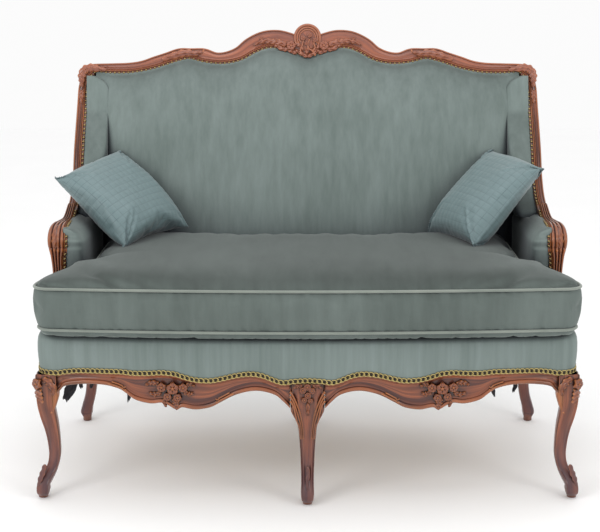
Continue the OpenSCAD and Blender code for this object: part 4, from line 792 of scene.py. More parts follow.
# Scrolls where the lower bead ends and starts again
for x, way in ((0.446, 1), (0.213, -1)):
    for run, up, thick in ((0.036, 0.0065, 0.0026), (0.026, 0.0135, 0.002)):
        row = [low_edge(x + way * run * t, up) for t in np.linspace(1, 0, 9)]
        eye = [row[-1] + [0.004 * (1 - math.cos(a)) * way, 0, -0.0035 * math.sin(a)] for a in (0.8, 1.8, 2.8)]
        apron.append(tube(row + eye, thick * np.array([0.5] + [1] * 9 + [0.8, 0.6]), 8))
for side, turned in both_sides:
    solid("carved_apron_" + side, turned(apron), walnut, nodes=["front_rail_" + side])


# Side rails
# Plain walnut rails between the front and rear legs, gently scalloped below.
side_face_x = front_block_x + rail_t / 2
side_start_y = front_y + block_w / 2
side_end_y = rear_knee_y - block_w / 2
side_drops = ((0, 0), (0.12, -0.25), (0.3, 0.3), (0.5, 0.6), (0.7, 0.3), (0.88, -0.25), (1, 0))
side_row = smooth([[mix(rear_block_x + rail_t / 2, side_face_x, t), mix(side_end_y, side_start_y, t),
    block_z + drop * 0.016] for t, drop in side_drops], 8)
side_profile = [
    (8, 0, 0), (34, 0, 0),
    (34, 0, 1), (1, 0, 1), (0, -1.5, 1), (0, -5, 1), (1.4, -6, 1), (2, -8, 1),
    (2, 12, 0), (1.6, 10, 0), (-0.4, 8, 0), (-0.8, 5, 0), (0.6, 2, 0), (4, 0.3, 0)]
side_rail = [[[-x + p[0] * MM, y, (rail_z if p[2] else low) + p[1] * MM] for p in side_profile]
    for x, y, low in side_row]
for side, turned in both_sides:
    solid("scalloped_side_rail_" + side, turned([side_rail]), walnut, nodes=["side_rail_" + side])


# Plain rails, stays and corner blocks
# Beech rails at the back and across the middle, and blocks glued and screwed into the corners, all
# out of sight under the cloth. The solids from the frame already have their true shapes.
beech, tree, shader = finish_of("sawn_beech", 0.62)
saw_map = node(tree, "TexCoord", {})
saw_noise = long_noise(tree, (saw_map, "Object"), (9.0, 160.0, 160.0), 4.0)
saw_tone = blend(tree, saw_noise, "#8f6a43", "#c29a68")
link(tree, saw_tone, shader, "Base Color", 2)


def toned(name, roughness, scale, detail, dark, light, **sockets):
    """A finish whose tone wanders between a dark and a light one."""
    material, tree, shader = finish_of(name, roughness, **sockets)
    place = node(tree, "TexCoord", {})
    cloud = node(tree, "TexNoise", {"Vector": (place, "Object"), "Scale": scale, "Detail": detail})
    tone = blend(tree, cloud, dark, light)
    link(tree, tone, shader, "Base Color", 2)
    return material


# Steel of screws and springs, dull and grey
steel = toned("grey_steel", 0.38, 240.0, 3.0, "#5c5b58", "#8d8b86", Metallic=1.0)
for kept in ("back_rail_left", "back_rail_right", "stay_rail_left", "stay_rail_right", "cross_rail",
        "corner_blocks", "frame_dowels"):
    frame["nodes"][kept].data.materials[0] = beech
frame["nodes"]["block_screws"].data.materials[0] = steel


# Seat webbing and springs
# Jute straps woven over and under one another below the seat, and steel springs that stand on them,
# waisted in the middle, each wound from one wire.
jute, tree, shader = finish_of("woven_jute", 0.9)
jute_map = node(tree, "TexCoord", {})
weft = node(tree, "TexWave", {"Vector": (jute_map, "Object"), "Scale": 110.0, "Distortion": 1.2},
    bands_direction="DIAGONAL")
jute_tone = blend(tree, (weft, 1), "#6f5937", "#b39a6c")
link(tree, jute_tone, shader, "Base Color", 2)
deck_rise = 0.080
deck_z = rail_z + deck_rise
web_t = 0.002
web_w = 0.050
web_wave = 0.0012
cloth_gap = 0.0006
web_z = rail_z - 0.75 * plain_rail_h
hessian_z = deck_z - 0.4 * deck_rise
centre_leg_y = centre_y + 0.3 * leg_sway
rear_end_x = rear_block_x - block_w / 2
corner_block_l = 0.060


def inner_side(y):
    """The inner face of a side rail."""
    return mix(rear_block_x - rail_t / 2, side_face_x - rail_t,
        (y - side_end_y) / (side_start_y - side_end_y))


def strap(points, across, thick=0.0016):
    """A woven strap through points, with a direction across it."""
    rings = []
    points = np.array(points, float)
    for p, w in zip(points, directions(points)):
        u = np.asarray(across, float)
        n = np.cross(w, u)
        rings.append([p + a * web_w / 2 * u + b * thick / 2 * n for a, b in
            ((-1, -1), (1, -1), (1, 1), (-1, 1))])
    return np.array(rings)


def weave(spots, crossings, start):
    """Heights of a strap that runs over and under the ones it crosses, from 1 to -1."""
    return [sum(math.exp(-((spot - c) / 0.024) ** 2) * (-1) ** (start + k) for k, c in enumerate(crossings))
        for spot in spots]


bay_in = rail_t / 2 + cloth_gap
web_xs = [mix(bay_in, rear_end_x - corner_block_l, (k + 0.6) / 4) for k in range(4)]
web_ys = [mix(centre_leg_y + block_w, rear_knee_y - corner_block_l, (k + 0.5) / 3) for k in range(3)]
straps = []
for side in (-1, 1):
    for i, x in enumerate(web_xs):
        near = face_y(x + web_w / 2) + rail_t + 0.001
        ys = np.linspace(near, rear_knee_y - rail_t / 2 - 0.001, 40)
        wave = weave(ys, web_ys, i + 1)
        straps.append(strap([[side * x, y, web_z + web_t + web_wave * w] for y, w in zip(ys, wave)], X_AXIS))
    for k, y in enumerate(web_ys):
        far = inner_side(y + web_w / 2) - 0.001
        xs = np.linspace(bay_in, far, 60)
        wave = weave(xs, web_xs, k)
        straps.append(strap([[side * x, y, web_z + web_t + web_wave * w] for x, w in zip(xs, wave)], Y_AXIS))
solid("woven_seat_webbing", straps, jute, nodes=["seat_webbing"], edge=30)

wire_d = 0.004
spring_r = 0.036
spring_low = web_z + 2 * web_t + wire_d / 2 + cloth_gap
spring_high = hessian_z - wire_d / 2 - joint_gap
coils = []
for side in (-1, 1):
    for i in range(3):
        for k in range(2):
            x = mix(bay_in, inner_side(side_end_y) - cloth_gap - spring_r, (i + 0.6) / 3)
            y = mix(web_ys[0], web_ys[2], (k + 0.25) / 1.5)
            t = np.linspace(0, 1, 161)
            r = spring_r * (1 - 0.34 * np.sin(math.pi * t))
            spots = np.stack([side * x + r * np.cos(8 * math.pi * t), y + r * np.sin(8 * math.pi * t),
                mix(spring_low, spring_high, t)], -1)
            coils.append(tube(spots, wire_d / 2, 8))
solid("wound_seat_springs", coils, steel, nodes=["seat_springs"])

# Back webbing: straps tacked across between the posts
def lean(z):
    return math.atan2(post_y(z + 0.01) - post_y(z - 0.01), 0.02)


back_straps = []
post_zx = [[s[2], -s[0] - s[3] / 2] for s in post_rows]
stay_z = deck_z + 0.045
for t in (0.25, 0.45, 0.65, 0.83):
    z = mix(stay_z, post_top, t)
    reach = float(np.interp(z - web_w / 2, *zip(*post_zx))) - cloth_gap
    y = post_y(z) - 0.011 - web_t / 2 - cloth_gap
    across = [0.0, math.sin(lean(z)), math.cos(lean(z))]
    back_straps.append(strap([[x, y, z] for x in np.linspace(-reach, reach, 30)], across))
solid("back_webbing_straps", back_straps, jute, nodes=["back_webbing"], edge=30)


# Spring cover and seat deck
# A jute cloth tied over the springs, and the velvet-covered stuffing that the cushion lies on.
fit_gap = 0.0005
corner_r = 0.040
corner_x = rail_end_x
corner_face_y = face_y(rail_end_x) + corner_r
deck_half = corner_x + corner_r - rail_t - fit_gap
deck_rear = side_end_y - fit_gap


def deck_plan(inset, z):
    half = deck_half - inset
    front = [[x, face_y(x) + rail_t + fit_gap + inset, z] for x in np.linspace(0.01 - half, half - 0.01, 33)]
    side = [[half, y, z] for y in np.linspace(side_start_y + 0.01, mix(side_start_y, side_end_y, 0.35), 6)]
    rear = [[half - rail_t, deck_rear - inset, z], [0, deck_rear - inset, z],
        [rail_t - half, deck_rear - inset, z]]
    return front + side + rear + [[-x, y, zz] for x, y, zz in side[::-1]]


cover = solid("spring_cover_cloth", [[deck_plan(0, hessian_z), deck_plan(0, hessian_z + 0.002)]], jute,
    nodes=["spring_hessian"])

# Velvet: pile with a nap. Broad soft patches and long streaks show where it has been stroked, and
# the pile catches light at glancing angles. Painted shade darkens it to blue black in nooks and
# between parts, and painted shade darkens the faces that look up.
def velvet_of(name, dark, light, streak, patchy):
    material, tree, shader = finish_of(name, 0.92, Sheen_Weight=0.3, Sheen_Roughness=0.4,
        Sheen_Tint=colour("#cfd6d4"))
    place = node(tree, "TexCoord", {})
    patch = node(tree, "TexNoise", {"Vector": (place, "Object"), "Scale": 3.2, "Detail": 2.0,
        "Roughness": 0.45})
    long_streaks = long_noise(tree, (place, "Object"), streak, 5.0, Roughness=0.6)
    both = node(tree, "Mix", {0: patchy, 2: long_streaks, 3: patch})
    share = ranged(tree, both, 0.33, 0.67)
    tone = blend(tree, share, dark, light)
    # Painted shade: blue black in nooks and between the cushions, arms and back
    nook = node(tree, "AmbientOcclusion", {"Distance": 0.22}, samples=12)
    shade = ranged(tree, (nook, "AO"), 0.15, 0.72, 0.95, 0.0)
    shaded = blend(tree, shade, tone, "#23252f")
    # Painted shade: faces that look up are darker
    facing = node(tree, "NewGeometry", {})
    upward = node(tree, "SeparateXYZ", {0: (facing, "Normal")})
    top_shade_share = ranged(tree, (upward, "Z"), 0.25, 0.9, 1.0, 0.52)
    top_shaded = node(tree, "Mix", {0: 1.0, 6: (shaded, 2), 7: top_shade_share}, data_type="RGBA", blend_type="MULTIPLY")
    link(tree, top_shaded, shader, "Base Color", 2)
    pile = node(tree, "TexNoise", {"Vector": (place, "Object"), "Scale": 900.0, "Detail": 2.0})
    bump = node(tree, "Bump", {"Height": pile, "Strength": 0.25, "Distance": 0.0008})
    link(tree, bump, shader, "Normal")
    return material


velvet_upright = velvet_of("sage_velvet_upright", "#64706c", "#7b8784", (48.0, 48.0, 2.6), 0.45)
# Painted shade: the flat copy is the same velvet in darker tones, for the seat deck and cushion
velvet_flat = velvet_of("sage_velvet_flat", "#4c5551", "#646e6a", (30.0, 7.0, 5.0), 0.6)
# rows: how far in from the deck's sides, height
deck_rows = [(0, hessian_z + 0.0024), (0, deck_z - 0.010), (0.003, deck_z - 0.005), (0.010, deck_z - 0.001),
    (0.025, deck_z)]
deck = solid("seat_deck_cover", [[deck_plan(*row) for row in deck_rows]], velvet_flat, nodes=["seat_deck"])


# Edge roll
# The padded velvet band over the seat rails. It bulges over the walnut, turns both front corners and
# follows the scalloped cloth line of the front rails.
side_lip_y = arm_y - 0.75 * scroll_w


def roll_path():
    """From the left side round the corner to the middle: place, way in, lower edge, tongue."""
    made = []
    for y in np.linspace(side_lip_y, corner_face_y, 12, endpoint=False):
        low = mix(block_top, rail_z, min(1.0, max(0.0, (y - side_start_y + 0.006) / 0.014)))
        made.append(([-corner_x - corner_r, y], [1.0, 0.0], low, rail_z if y > side_start_y else tongue_z))
    for a in np.linspace(math.pi, 1.5 * math.pi, 14, endpoint=False):
        u = [-math.cos(a), -math.sin(a)]
        made.append(([-corner_x - corner_r * u[0], corner_face_y - corner_r * u[1]], u, block_top, tongue_z))
    for x, high in apron_row[:, [0, 2]]:
        made.append(([x, face_y(x)], [0.0, 1.0], high, tongue_z))
    for x in np.linspace(-centre_block_w / 2, 0, 9)[1:]:
        t = abs(x) / (centre_block_w / 2)
        made.append(([x, face_y(x)], [0.0, 1.0], rail_z - 0.95 * show_drop + 0.003 * (1 - t ** 2), tongue_z))
    other = [([-p[0], p[1]], [-u[0], u[1]], b, t) for p, u, b, t in made[-2::-1]]
    return made + other


roll_line = roll_path()
roll_rings = []
for p, u, base, tongue in roll_line:
    mid = (base + deck_z) / 2
    soft = 1 + 0.05 * noise.noise(Vector((p[0] * 9, p[1] * 9, 0.3)))
    profile = [(5, base + fit_gap), (1.2, base + fit_gap), (-2.2, base + 0.003), (-4.6, base + 0.008),
        (-6.6, base + 0.015), (-8.2, mix(base, mid, 0.7)), (-9, mid), (-8.6, mix(mid, deck_z, 0.4)),
        (-6.8, deck_z - 0.018), (-3.2, deck_z - 0.009), (3.4, deck_z - 0.003), (12, deck_z), (22, deck_z),
        (30, deck_z - 0.003), (34, deck_z - 0.008),
        (34, tongue + fit_gap), (9.5, tongue + fit_gap), (6, mix(base, tongue, 0.5) + fit_gap)]
    swollen = [(d * MM * (soft if d < 0 else 1), z) for d, z in profile]
    roll_rings.append([[p[0] + d * u[0], p[1] + d * u[1], z] for d, z in swollen])
roll = solid("padded_edge_roll", [roll_rings], velvet_upright, nodes=["edge_roll"])


# Back pad
# One wide velvet pad over horsehair, crowned in the middle. Its cloth is drawn into the rebate of the
# crest rail, where the nails hold it, and tucked in beside the wings.
wing_pad_w = 0.060
pad_outer_x = wing_x - wing_w / 2 - fit_gap
pad_half = pad_outer_x - wing_pad_w - 0.001
pad_low_z = deck_z + 0.0015
stay_t = 0.024
pad_back_set = stay_t / 2 + 2 * web_t + fit_gap
back_pad_t = 0.044


def crest_low(x):
    """The crest rail's lower edge, smoothed as the rail is."""
    return float(np.interp(x, low_line[:, 0], low_line[:, 1]))


low_points = crest_row[:, :3] + (np.cross(crest_front, crest_way) * -crest_row[:, 3:4] / 2)
low_line = low_points[:, [0, 2]]
pad_rings = []
pad_ends = np.array([0.92, 0.95, 0.97, 0.985, 0.995, 1, 1.03, 1.06])
for t in np.concatenate([-pad_ends[::-1], np.linspace(-0.89, 0.89, 81), pad_ends]):
    x = t * (pad_half + 0.005)
    full = float(np.interp(abs(t), [0, 0.7, 0.9, 0.96, 0.985, 1, 1.06],
        [1, 0.97, 0.86, 0.74, 0.6, 0.42, 0.36]))
    top = crest_low(x)
    ring = []
    for share, thick in ((0, 0.7), (0.03, 0.82), (0.08, 0.91), (0.16, 0.97), (0.25, 0.99), (0.35, 1),
            (0.45, 1), (0.55, 0.985), (0.65, 0.96), (0.74, 0.92), (0.82, 0.85), (0.88, 0.76),
            (0.925, 0.65), (0.96, 0.5), (0.982, 0.34), (0.995, 0.16)):
        z = mix(pad_low_z, top, share)
        ring.append([x, post_y(z) - pad_back_set - thick * full * back_pad_t, z])
    ring.append([x, post_y(top) - crest_t / 2 + 0.0028, top + 0.0014])
    ring.append([x, post_y(top) - crest_t / 2 + 0.0036, top + 0.0052])
    for share, lip in ((1.0, 0.004), (0.7, 0), (0.4, 0), (0, 0)):
        z = mix(pad_low_z, top - 0.001, share)
        ring.append([x, post_y(z) - pad_back_set + lip, z + lip])
    pad_rings.append(ring)
back = solid("crowned_back_pad", [pad_rings], velvet_upright, nodes=["back_pad"])


# Wing and arm pads
# Velvet rolls inside the wings, arched at the top, and plainer pads inside the arms below them.
def wing_y(z):
    return float(np.interp(z, wing_line[0][:, 2], wing_line[0][:, 1]))


def pad_back_y(z):
    return post_y(z) - 0.65 * post_t - fit_gap


arm_pad_top = joint_z - wing_t / 2 - 0.008
wing_pad_low = arm_pad_top + 0.0015
wing_pad_top = post_top - 0.0015
arch_rise = 0.036
arm_pad_w = 0.054


def pad_ring(z, front, back, outer, width, soft, share=1.0):
    """A cushion section, square against the wood outside and rounded inside, drawn in by a share."""
    turn = 2 * math.pi * (np.arange(40) + 0.5) / 40
    c, s = np.cos(turn), np.sin(turn)
    power = np.where(c < 0, 0.12, soft)
    a, b = np.sign(c) * np.abs(c) ** power, np.sign(s) * np.abs(s) ** power
    across = share * width / 2 * (1 + a) - outer
    return np.column_stack([across, mix(front, back, 0.5 + b / 2), np.full(len(turn), z)])


wing_pad = []
for t in np.concatenate([[0, 0.008, 0.02], np.linspace(0.04, 0.9, 36), np.linspace(0.91, 0.996, 12), [1]]):
    z = mix(wing_pad_low, wing_pad_top + 0.004, t)
    over = max(0.0, (z - wing_pad_top + arch_rise) / (arch_rise + 0.006))
    share = math.sqrt(1 - over ** 2) * min(1.0, 0.9 + 6 * t)
    front = min(wing_y(z) - 0.4 * wing_t, pad_back_y(z) - 0.014)
    wing_pad.append(pad_ring(z, front, pad_back_y(z), pad_outer_x + 0.001, wing_pad_w, 0.5, share))
# The arm pad's front lies just behind the nails, and its top falls from the wood in an arch
arm_face = np.concatenate([support_line[0], arm_line[0][1:20]])
arm_pad = []
for t in np.concatenate([[0, 0.01, 0.03], np.linspace(0.06, 0.7, 14), np.linspace(0.73, 0.99, 16), [0.998]]):
    z = mix(pad_low_z, joint_z - 0.010, t)
    front = float(np.interp(z, arm_face[:, 2], arm_face[:, 1] - arm_face[:, 4] / 2)) + 0.006
    over = max(0.0, (z - joint_z + 0.055) / 0.046)
    share = math.sqrt(max(0.02, 1 - over ** 2))
    end = mix(pad_back_y(z), joint_y - 0.02, float(z > arm_pad_top))
    arm_pad.append(pad_ring(z, front, end, scroll_x - scroll_w / 2 + 0.012, arm_pad_w, 0.4, share))
for side, turned in both_sides:
    solid("wing_pad_cover_" + side, turned([wing_pad]), velvet_upright, nodes=["wing_pad_" + side])
    solid("arm_pad_cover_" + side, turned([arm_pad]), velvet_upright, nodes=["arm_pad_" + side])


# Outside cloths
# Velvet stretched over the outside of the arms and wings, and over the back from rail to crest.
outside_t = 0.0022
outside_swell = 0.0013
outside_set = 0.0035
behind_wood = 0.0012


def edge_behind(row, i):
    way = unit(np.array(row[min(i + 1, len(row) - 1)][:3]) - np.array(row[max(i - 1, 0)][:3]))
    off = row[i][4] / 2 + cloth_gap
    return [row[i][1] + off * way[2], row[i][2] - off * way[1]]


side_outline = [[row[1] + row[4] / 2 + behind_wood, max(row[2], rail_z + cloth_gap)]
    for row in support_row[:1:-1]]
side_outline += [[arm_row[i][1], arm_row[i][2] - arm_row[i][4] / 2 - cloth_gap] for i in (3, 2, 1)]
side_outline += [edge_behind(wing_row, i) for i in range(1, len(wing_row) - 1)]
side_outline += [[post_y(z) + post_t / 2, z] for z in (mix(rail_z + cloth_gap, corner_z, t)
    for t in (0.9, 0.6, 0.3, 0.05, 0))]
for side, name in ((-1, "left"), (1, "right")):
    mesh = bpy.data.meshes.new("outside_cloth_" + name)
    x = side * (wing_x + wing_w / 2 - outside_set)
    mesh.from_pydata([[x, y, z] for y, z in side_outline], [], [list(range(len(side_outline)))])
    piece = placed(mesh.name, mesh)
    bpy.ops.object.mode_set(mode="EDIT")
    bpy.ops.mesh.select_all(action="SELECT")
    bpy.ops.mesh.extrude_region_move(TRANSFORM_OT_translate={"value": (side * outside_t, 0, 0)})
    bpy.ops.mesh.inset(thickness=0.006, depth=0.0)
    bpy.ops.transform.translate(value=(side * outside_swell, 0, 0))
    bpy.ops.mesh.select_all(action="SELECT")
    bpy.ops.mesh.quads_convert_to_tris()
    bpy.ops.mesh.normals_make_consistent(inside=False)
    bpy.ops.object.mode_set(mode="OBJECT")
    mesh.materials.append(velvet_upright)
    bpy.ops.object.shade_smooth_by_angle(angle=math.radians(40))
    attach(piece, "frame")
    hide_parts("outside_side_" + name)

back_cloth_t = 0.0018
back_swell = 0.0012
cloth_half = rear_block_x + block_w / 2
post_back = [[block_z, rear_knee_y + block_w / 2], [rail_z, rear_knee_y + block_w / 2]] + [
    [s[2], s[1] + max(s[4], crest_t) / 2] for s in post_rows] + [
    [crest_z + shell_rise, post_y(crest_z + shell_rise) + crest_t / 2]]
back_zs, back_ys = (list(v) for v in zip(*post_back))
back_cloth = []
for t in np.linspace(-1, 1, 61):
    top = crest_low(t * (cloth_half - 0.6 * corner_drop)) + 0.014
    zs = np.concatenate([[block_z, block_z + 0.004], np.linspace(block_z + 0.03, top - 0.006, 16), [top]])
    puff = back_swell * (1 - t ** 8)
    drawn = np.interp(zs, [corner_z + a * corner_drop for a in (0, 0.69, 1)], [0, 0.37, 0.6])
    rows = [[t * (cloth_half - corner_drop * d), float(np.interp(z, back_zs, back_ys)) + behind_wood, z]
        for z, d in zip(zs, drawn)]
    back_cloth.append(rows[::-1] + [[x, y + back_cloth_t + puff * (1 - (2 * i / (len(zs) - 1) - 1) ** 8), z]
        for i, (x, y, z) in enumerate(rows)])
outside = solid("outside_back_cloth", [back_cloth], velvet_upright, nodes=["outside_back"],
    edge=35)


# Seat cushion
# A loose velvet cushion filled with down, plump on top, with ends that bulge between two piped
# seams and ears that reach out in front of the arms.
ear_x = half_w + 0.003
cushion_front = 0.095
cushion_bow = 0.033
cushion_z = deck_z + fit_gap
seam_low = cushion_z + 0.020
cushion_h = 0.100
ear_rear_y = arm_y - 0.6 * scroll_w
cushion_rear_y = pad_back_y(seam_low) - back_pad_t - 0.002
piping_d = 0.007
cushion_waist_x = pad_outer_x - wing_pad_w - 0.003 - piping_d
ear_round = 0.034
ear_turn = 0.052
rear_round = 0.026
cushion_crown = 0.037
fold_half = 0.5
fold_y = -0.125
dome_limit = 0.041
low_end_x = 0.640
high_end_x = 0.646
widest_x = 0.6585
wall_bulge = 0.007
welt_out = 0.0034


def seam_high(x, y):
    near = front_y - cushion_front
    return seam_low + cushion_h * (1 - 0.08 * (y - near) / (cushion_rear_y - near) * (x / ear_x) ** 2)


def cushion_plan(end_x):
    """The outline from the middle of the front round the right-hand side to the middle of the back,
    with the place on the cushion's fold line that each of its points is joined to."""
    def front(x):
        return front_y - cushion_front + cushion_bow * (x / ear_x) ** 2 + 0.003

    inner, waist = end_x - ear_round, cushion_waist_x - 0.002
    steps = np.arange(56) / 56
    plan = [(inner * t, front(inner * t), t) for t in steps]
    for a in np.linspace(0, math.pi / 2, 12):
        x = inner + ear_round * math.sin(a)
        plan.append((x, front(x) + ear_round * (1 - math.cos(a)), 1))
    ear_front = front(end_x) + ear_round
    for t in np.linspace(0.06, 0.93, 14):
        plan.append((end_x - ear_turn * (3 * t ** 2 - 2 * t ** 3), mix(ear_front, ear_rear_y, t), 1))
    plan += [(end_x - ear_turn - 0.003, ear_rear_y - 0.003, 1)]
    plan += [(x, ear_rear_y, 1) for x in np.linspace(end_x - ear_turn - 0.011, waist + 0.012, 4)]
    plan += [(waist + 0.0035, ear_rear_y + 0.0035, 1)]
    plan += [(waist, y, 1) for y in np.linspace(ear_rear_y + 0.012, cushion_rear_y - 0.030, 30)]
    plan += [(waist - rear_round * (1 - math.cos(a)), cushion_rear_y - rear_round * (1 - math.sin(a)), 1)
        for a in np.linspace(0.2, math.pi / 2 - 0.1, 6)]
    plan += [((waist - rear_round) * t, cushion_rear_y, t) for t in np.append(1, steps[::-1])]
    return np.array(plan)


def whole(half):
    """Both halves of a symmetrical row, in one closed loop."""
    return np.concatenate([half, half[-2:0:-1] * ([-1] + [1] * (half.shape[1] - 1))])


def cushion_loop(end_x, fold=0.0, out=0.0):
    """A level loop of the cover, moved out from its outline or in towards its fold line."""
    plan = cushion_plan(end_x)
    plan[:, 2] *= fold_half
    loop = whole(plan)
    loop[len(plan):, 2] *= -1
    edge, fold_x = loop[:, :2], np.where(loop[:, 0] < 0, -np.abs(loop[:, 2]), loop[:, 2])
    way = unit(np.roll(edge, -1, axis=0) - np.roll(edge, 1, axis=0))
    outward = np.stack([way[:, 1], -way[:, 0]], -1)
    target = np.stack([fold_x, np.full(len(edge), fold_y)], -1)
    return mix(edge, target, fold) + out * outward


def seam_path(high):
    plan = cushion_loop(high_end_x if high else low_end_x)
    return np.array([[x, y, seam_high(x, y) if high else seam_low] for x, y in plan])


seams = [seam_path(True), seam_path(False)]
cushion_loops = []
for fold in (1, 0.85, 0.7, 0.55, 0.4, 0.28, 0.18, 0.11):
    cushion_loops.append([[x, y, cushion_z] for x, y in cushion_loop(low_end_x, fold)])
for fold, drop in ((0.065, 0.0195), (0.035, 0.0165), (0.015, 0.011), (0.004, 0.005)):
    cushion_loops.append([[x, y, seam_low - drop] for x, y in cushion_loop(low_end_x, fold)])
cushion_loops.append(seams[1])
for t in np.linspace(0, 1, 11)[1:-1]:
    loop = cushion_loop(mix(low_end_x, high_end_x, t), 0.0, wall_bulge * math.sin(math.pi * t) ** 0.6)
    cushion_loops.append([[x, y, mix(seam_low, seam_high(x, y), t)] for x, y in loop])
cushion_loops.append(seams[0])
for fold in (0.006, 0.016, 0.03, 0.048, 0.07, 0.095, 0.125, 0.16, 0.2, 0.245, 0.295, 0.35,
        0.41, 0.47, 0.53, 0.59, 0.65, 0.71, 0.77, 0.83, 0.89, 0.95, 1):
    loop = cushion_loop(high_end_x, fold)
    level = np.column_stack([loop, np.zeros(len(loop))])
    apart = np.full(len(loop), 9.0)
    for a, b in zip(seams[0] * [1, 1, 0], np.roll(seams[0], -1, axis=0) * [1, 1, 0]):
        t = np.clip(((level - a) @ (b - a)) / max(1e-12, (b - a) @ (b - a)), 0, 1)
        apart = np.minimum(apart, np.linalg.norm(level - a - t[:, None] * (b - a), axis=1))
    soft = mix(0.040, 0.022, np.clip((loop[:, 1] + 0.15) / 0.25, 0, 1))
    cushion_loops.append([[x, y, seam_high(x, y) + cushion_crown * (1 - math.exp(-d / r)) ** 0.7]
        for (x, y), d, r in zip(loop, apart, soft)])
cushion = solid("seat_cushion_cover", [cushion_loops], velvet_flat, body="seat_cushion",
    nodes=["seat_cushion"])
# Top and bottom each close along a fold line, where opposite points of the last loop are joined
for kind in (cushion.data.polygons, cushion.data.edges, cushion.data.vertices):
    kind.foreach_set("select", [False] * len(kind))
for vertex in cushion.data.vertices[-2:]:
    vertex.select = True
bpy.ops.object.mode_set(mode="EDIT")
bpy.ops.mesh.delete(type="VERT")
bpy.ops.mesh.select_all(action="SELECT")
bpy.ops.mesh.remove_doubles(threshold=0.0004)
bpy.ops.object.mode_set(mode="OBJECT")


def closed_tube(points, radius):
    """A cord sewn round a seam, whose two ends meet."""
    return tube(np.concatenate([points, points[:2]]), radius, 12)[:-1]


def fill(piece, held, pressure, growth, frames):
    """Fills a cover as down would, in a cloth simulation that holds the given vertices."""
    pick(piece)
    piece.vertex_groups.new(name="held").add([int(i) for i in held], 1.0, "REPLACE")
    filling = piece.modifiers.new("filling", "CLOTH")
    filling.settings.quality = 4
    filling.settings.vertex_group_mass = "held"
    filling.settings.use_pressure = True
    filling.settings.uniform_pressure_force = pressure
    filling.settings.shrink_min = -growth
    filling.settings.tension_stiffness = 18
    filling.settings.compression_stiffness = 18
    filling.settings.bending_stiffness = 1.2
    filling.settings.effector_weights.gravity = 0
    filling.point_cache.frame_end = frames
    for step in range(1, frames + 1):
        bpy.context.scene.frame_set(step)
    bpy.ops.object.modifier_apply(modifier="filling")
    bpy.context.scene.frame_set(1)


def places_of(piece):
    spots = np.empty(3 * len(piece.data.vertices))
    piece.data.vertices.foreach_get("co", spots)
    return spots.reshape(-1, 3)


spots = places_of(cushion)
sewn = {tuple(np.round(spot, 4)) for spot in np.concatenate(seams)}
held = [i for i, spot in enumerate(spots)
    if tuple(np.round(spot, 4)) in sewn or spot[2] < cushion_z + fit_gap]
fill(cushion, held, 2.6, 0.022, 20)
spots = places_of(cushion)
# The swelling flattens towards the height of the photographed crown
seam = np.array([seam_high(x, y) for x, y in spots[:, :2]])
over = np.maximum(0, spots[:, 2] - seam)
firm = mix(0.022, 0.042, np.clip((np.abs(spots[:, 0]) - 0.48) / 0.14, 0, 1))
spots[:, 2] = np.where(over > 0, seam + dome_limit * (1 - np.exp(-over / firm)), spots[:, 2])
spots[:, 0] = np.clip(spots[:, 0], -widest_x, widest_x)
spots[:, 1] = np.minimum(spots[:, 1], cushion_rear_y + 0.003)
spots[:, 2] = np.maximum(spots[:, 2], cushion_z)
cushion.data.vertices.foreach_set("co", spots.ravel())
cushion.data.update()

# Piping: velvet wound round a cord and sewn into both seams
piping_cloth = toned("olive_piping_cloth", 0.85, 14.0, 3.0, "#68716a", "#8b9188", Sheen_Weight=0.3)
cords = []
for path in seams:
    way = unit(np.roll(path, -1, axis=0) - np.roll(path, 1, axis=0))
    cords.append(closed_tube(path + welt_out * np.cross(way, Z_AXIS), piping_d / 2))
solid("piped_seams", cords, piping_cloth, body="seat_cushion", nodes=["cushion_piping"])


# Scatter cushions
# Two loose square cushions in blue-green checked silk. Thin dark lines, about 19 mm apart, pucker the
# cloth into small squares. Each is two flat squares sewn edge to edge and filled until it swells.
silk, tree, shader = finish_of("checked_silk", 0.48, Sheen_Weight=0.25, Coat_Weight=0.05, Coat_Roughness=0.4)
check = 0.0192
check_start = 0.7
silk_map = node(tree, "UVMap", {}, uv_map="grain")
parts = node(tree, "SeparateXYZ", {0: silk_map})
lines = []
for axis in (0, 1):
    cell = node(tree, "Math", {0: (parts, axis), 1: 1 / check}, operation="MULTIPLY")
    offset = node(tree, "Math", {0: cell}, operation="FRACT")
    away = node(tree, "Math", {0: offset, 1: 0.5}, operation="SUBTRACT")
    near = node(tree, "Math", {0: away}, operation="ABSOLUTE")
    lines.append(ranged(tree, near, 0.5, 0.42, 1.0, 0.0))
crossed = node(tree, "Math", {0: lines[0], 1: lines[1]}, operation="MAXIMUM")
slubs = long_noise(tree, silk_map, (30.0, 700.0, 1.0), 4.0)
silk_tone = blend(tree, slubs, "#54696b", "#718688")
broken = long_noise(tree, silk_map, (60.0, 60.0, 1.0), 2.0)
line_strength = ranged(tree, broken, 0.35, 0.65, 0.15, 0.55)
line_share = node(tree, "Math", {0: crossed, 1: line_strength}, operation="MULTIPLY")
silk_lined = blend(tree, line_share, silk_tone, "#34474c")
# Painted shade: the silk turns blue black in its nooks and where it lies against other parts
silk_nook = node(tree, "AmbientOcclusion", {"Distance": 0.06}, samples=8)
silk_shade = ranged(tree, (silk_nook, "AO"), 0.2, 0.8, 0.75, 0.0)
silk_shaded = blend(tree, silk_shade, silk_lined, "#22303a")
link(tree, silk_shaded, shader, "Base Color", 2)

scatter_w = 0.288
scatter_t = 0.108
corner_droop = 0.018
flat_share = 1.035
pucker_depth = 0.0011
grid_n = 75


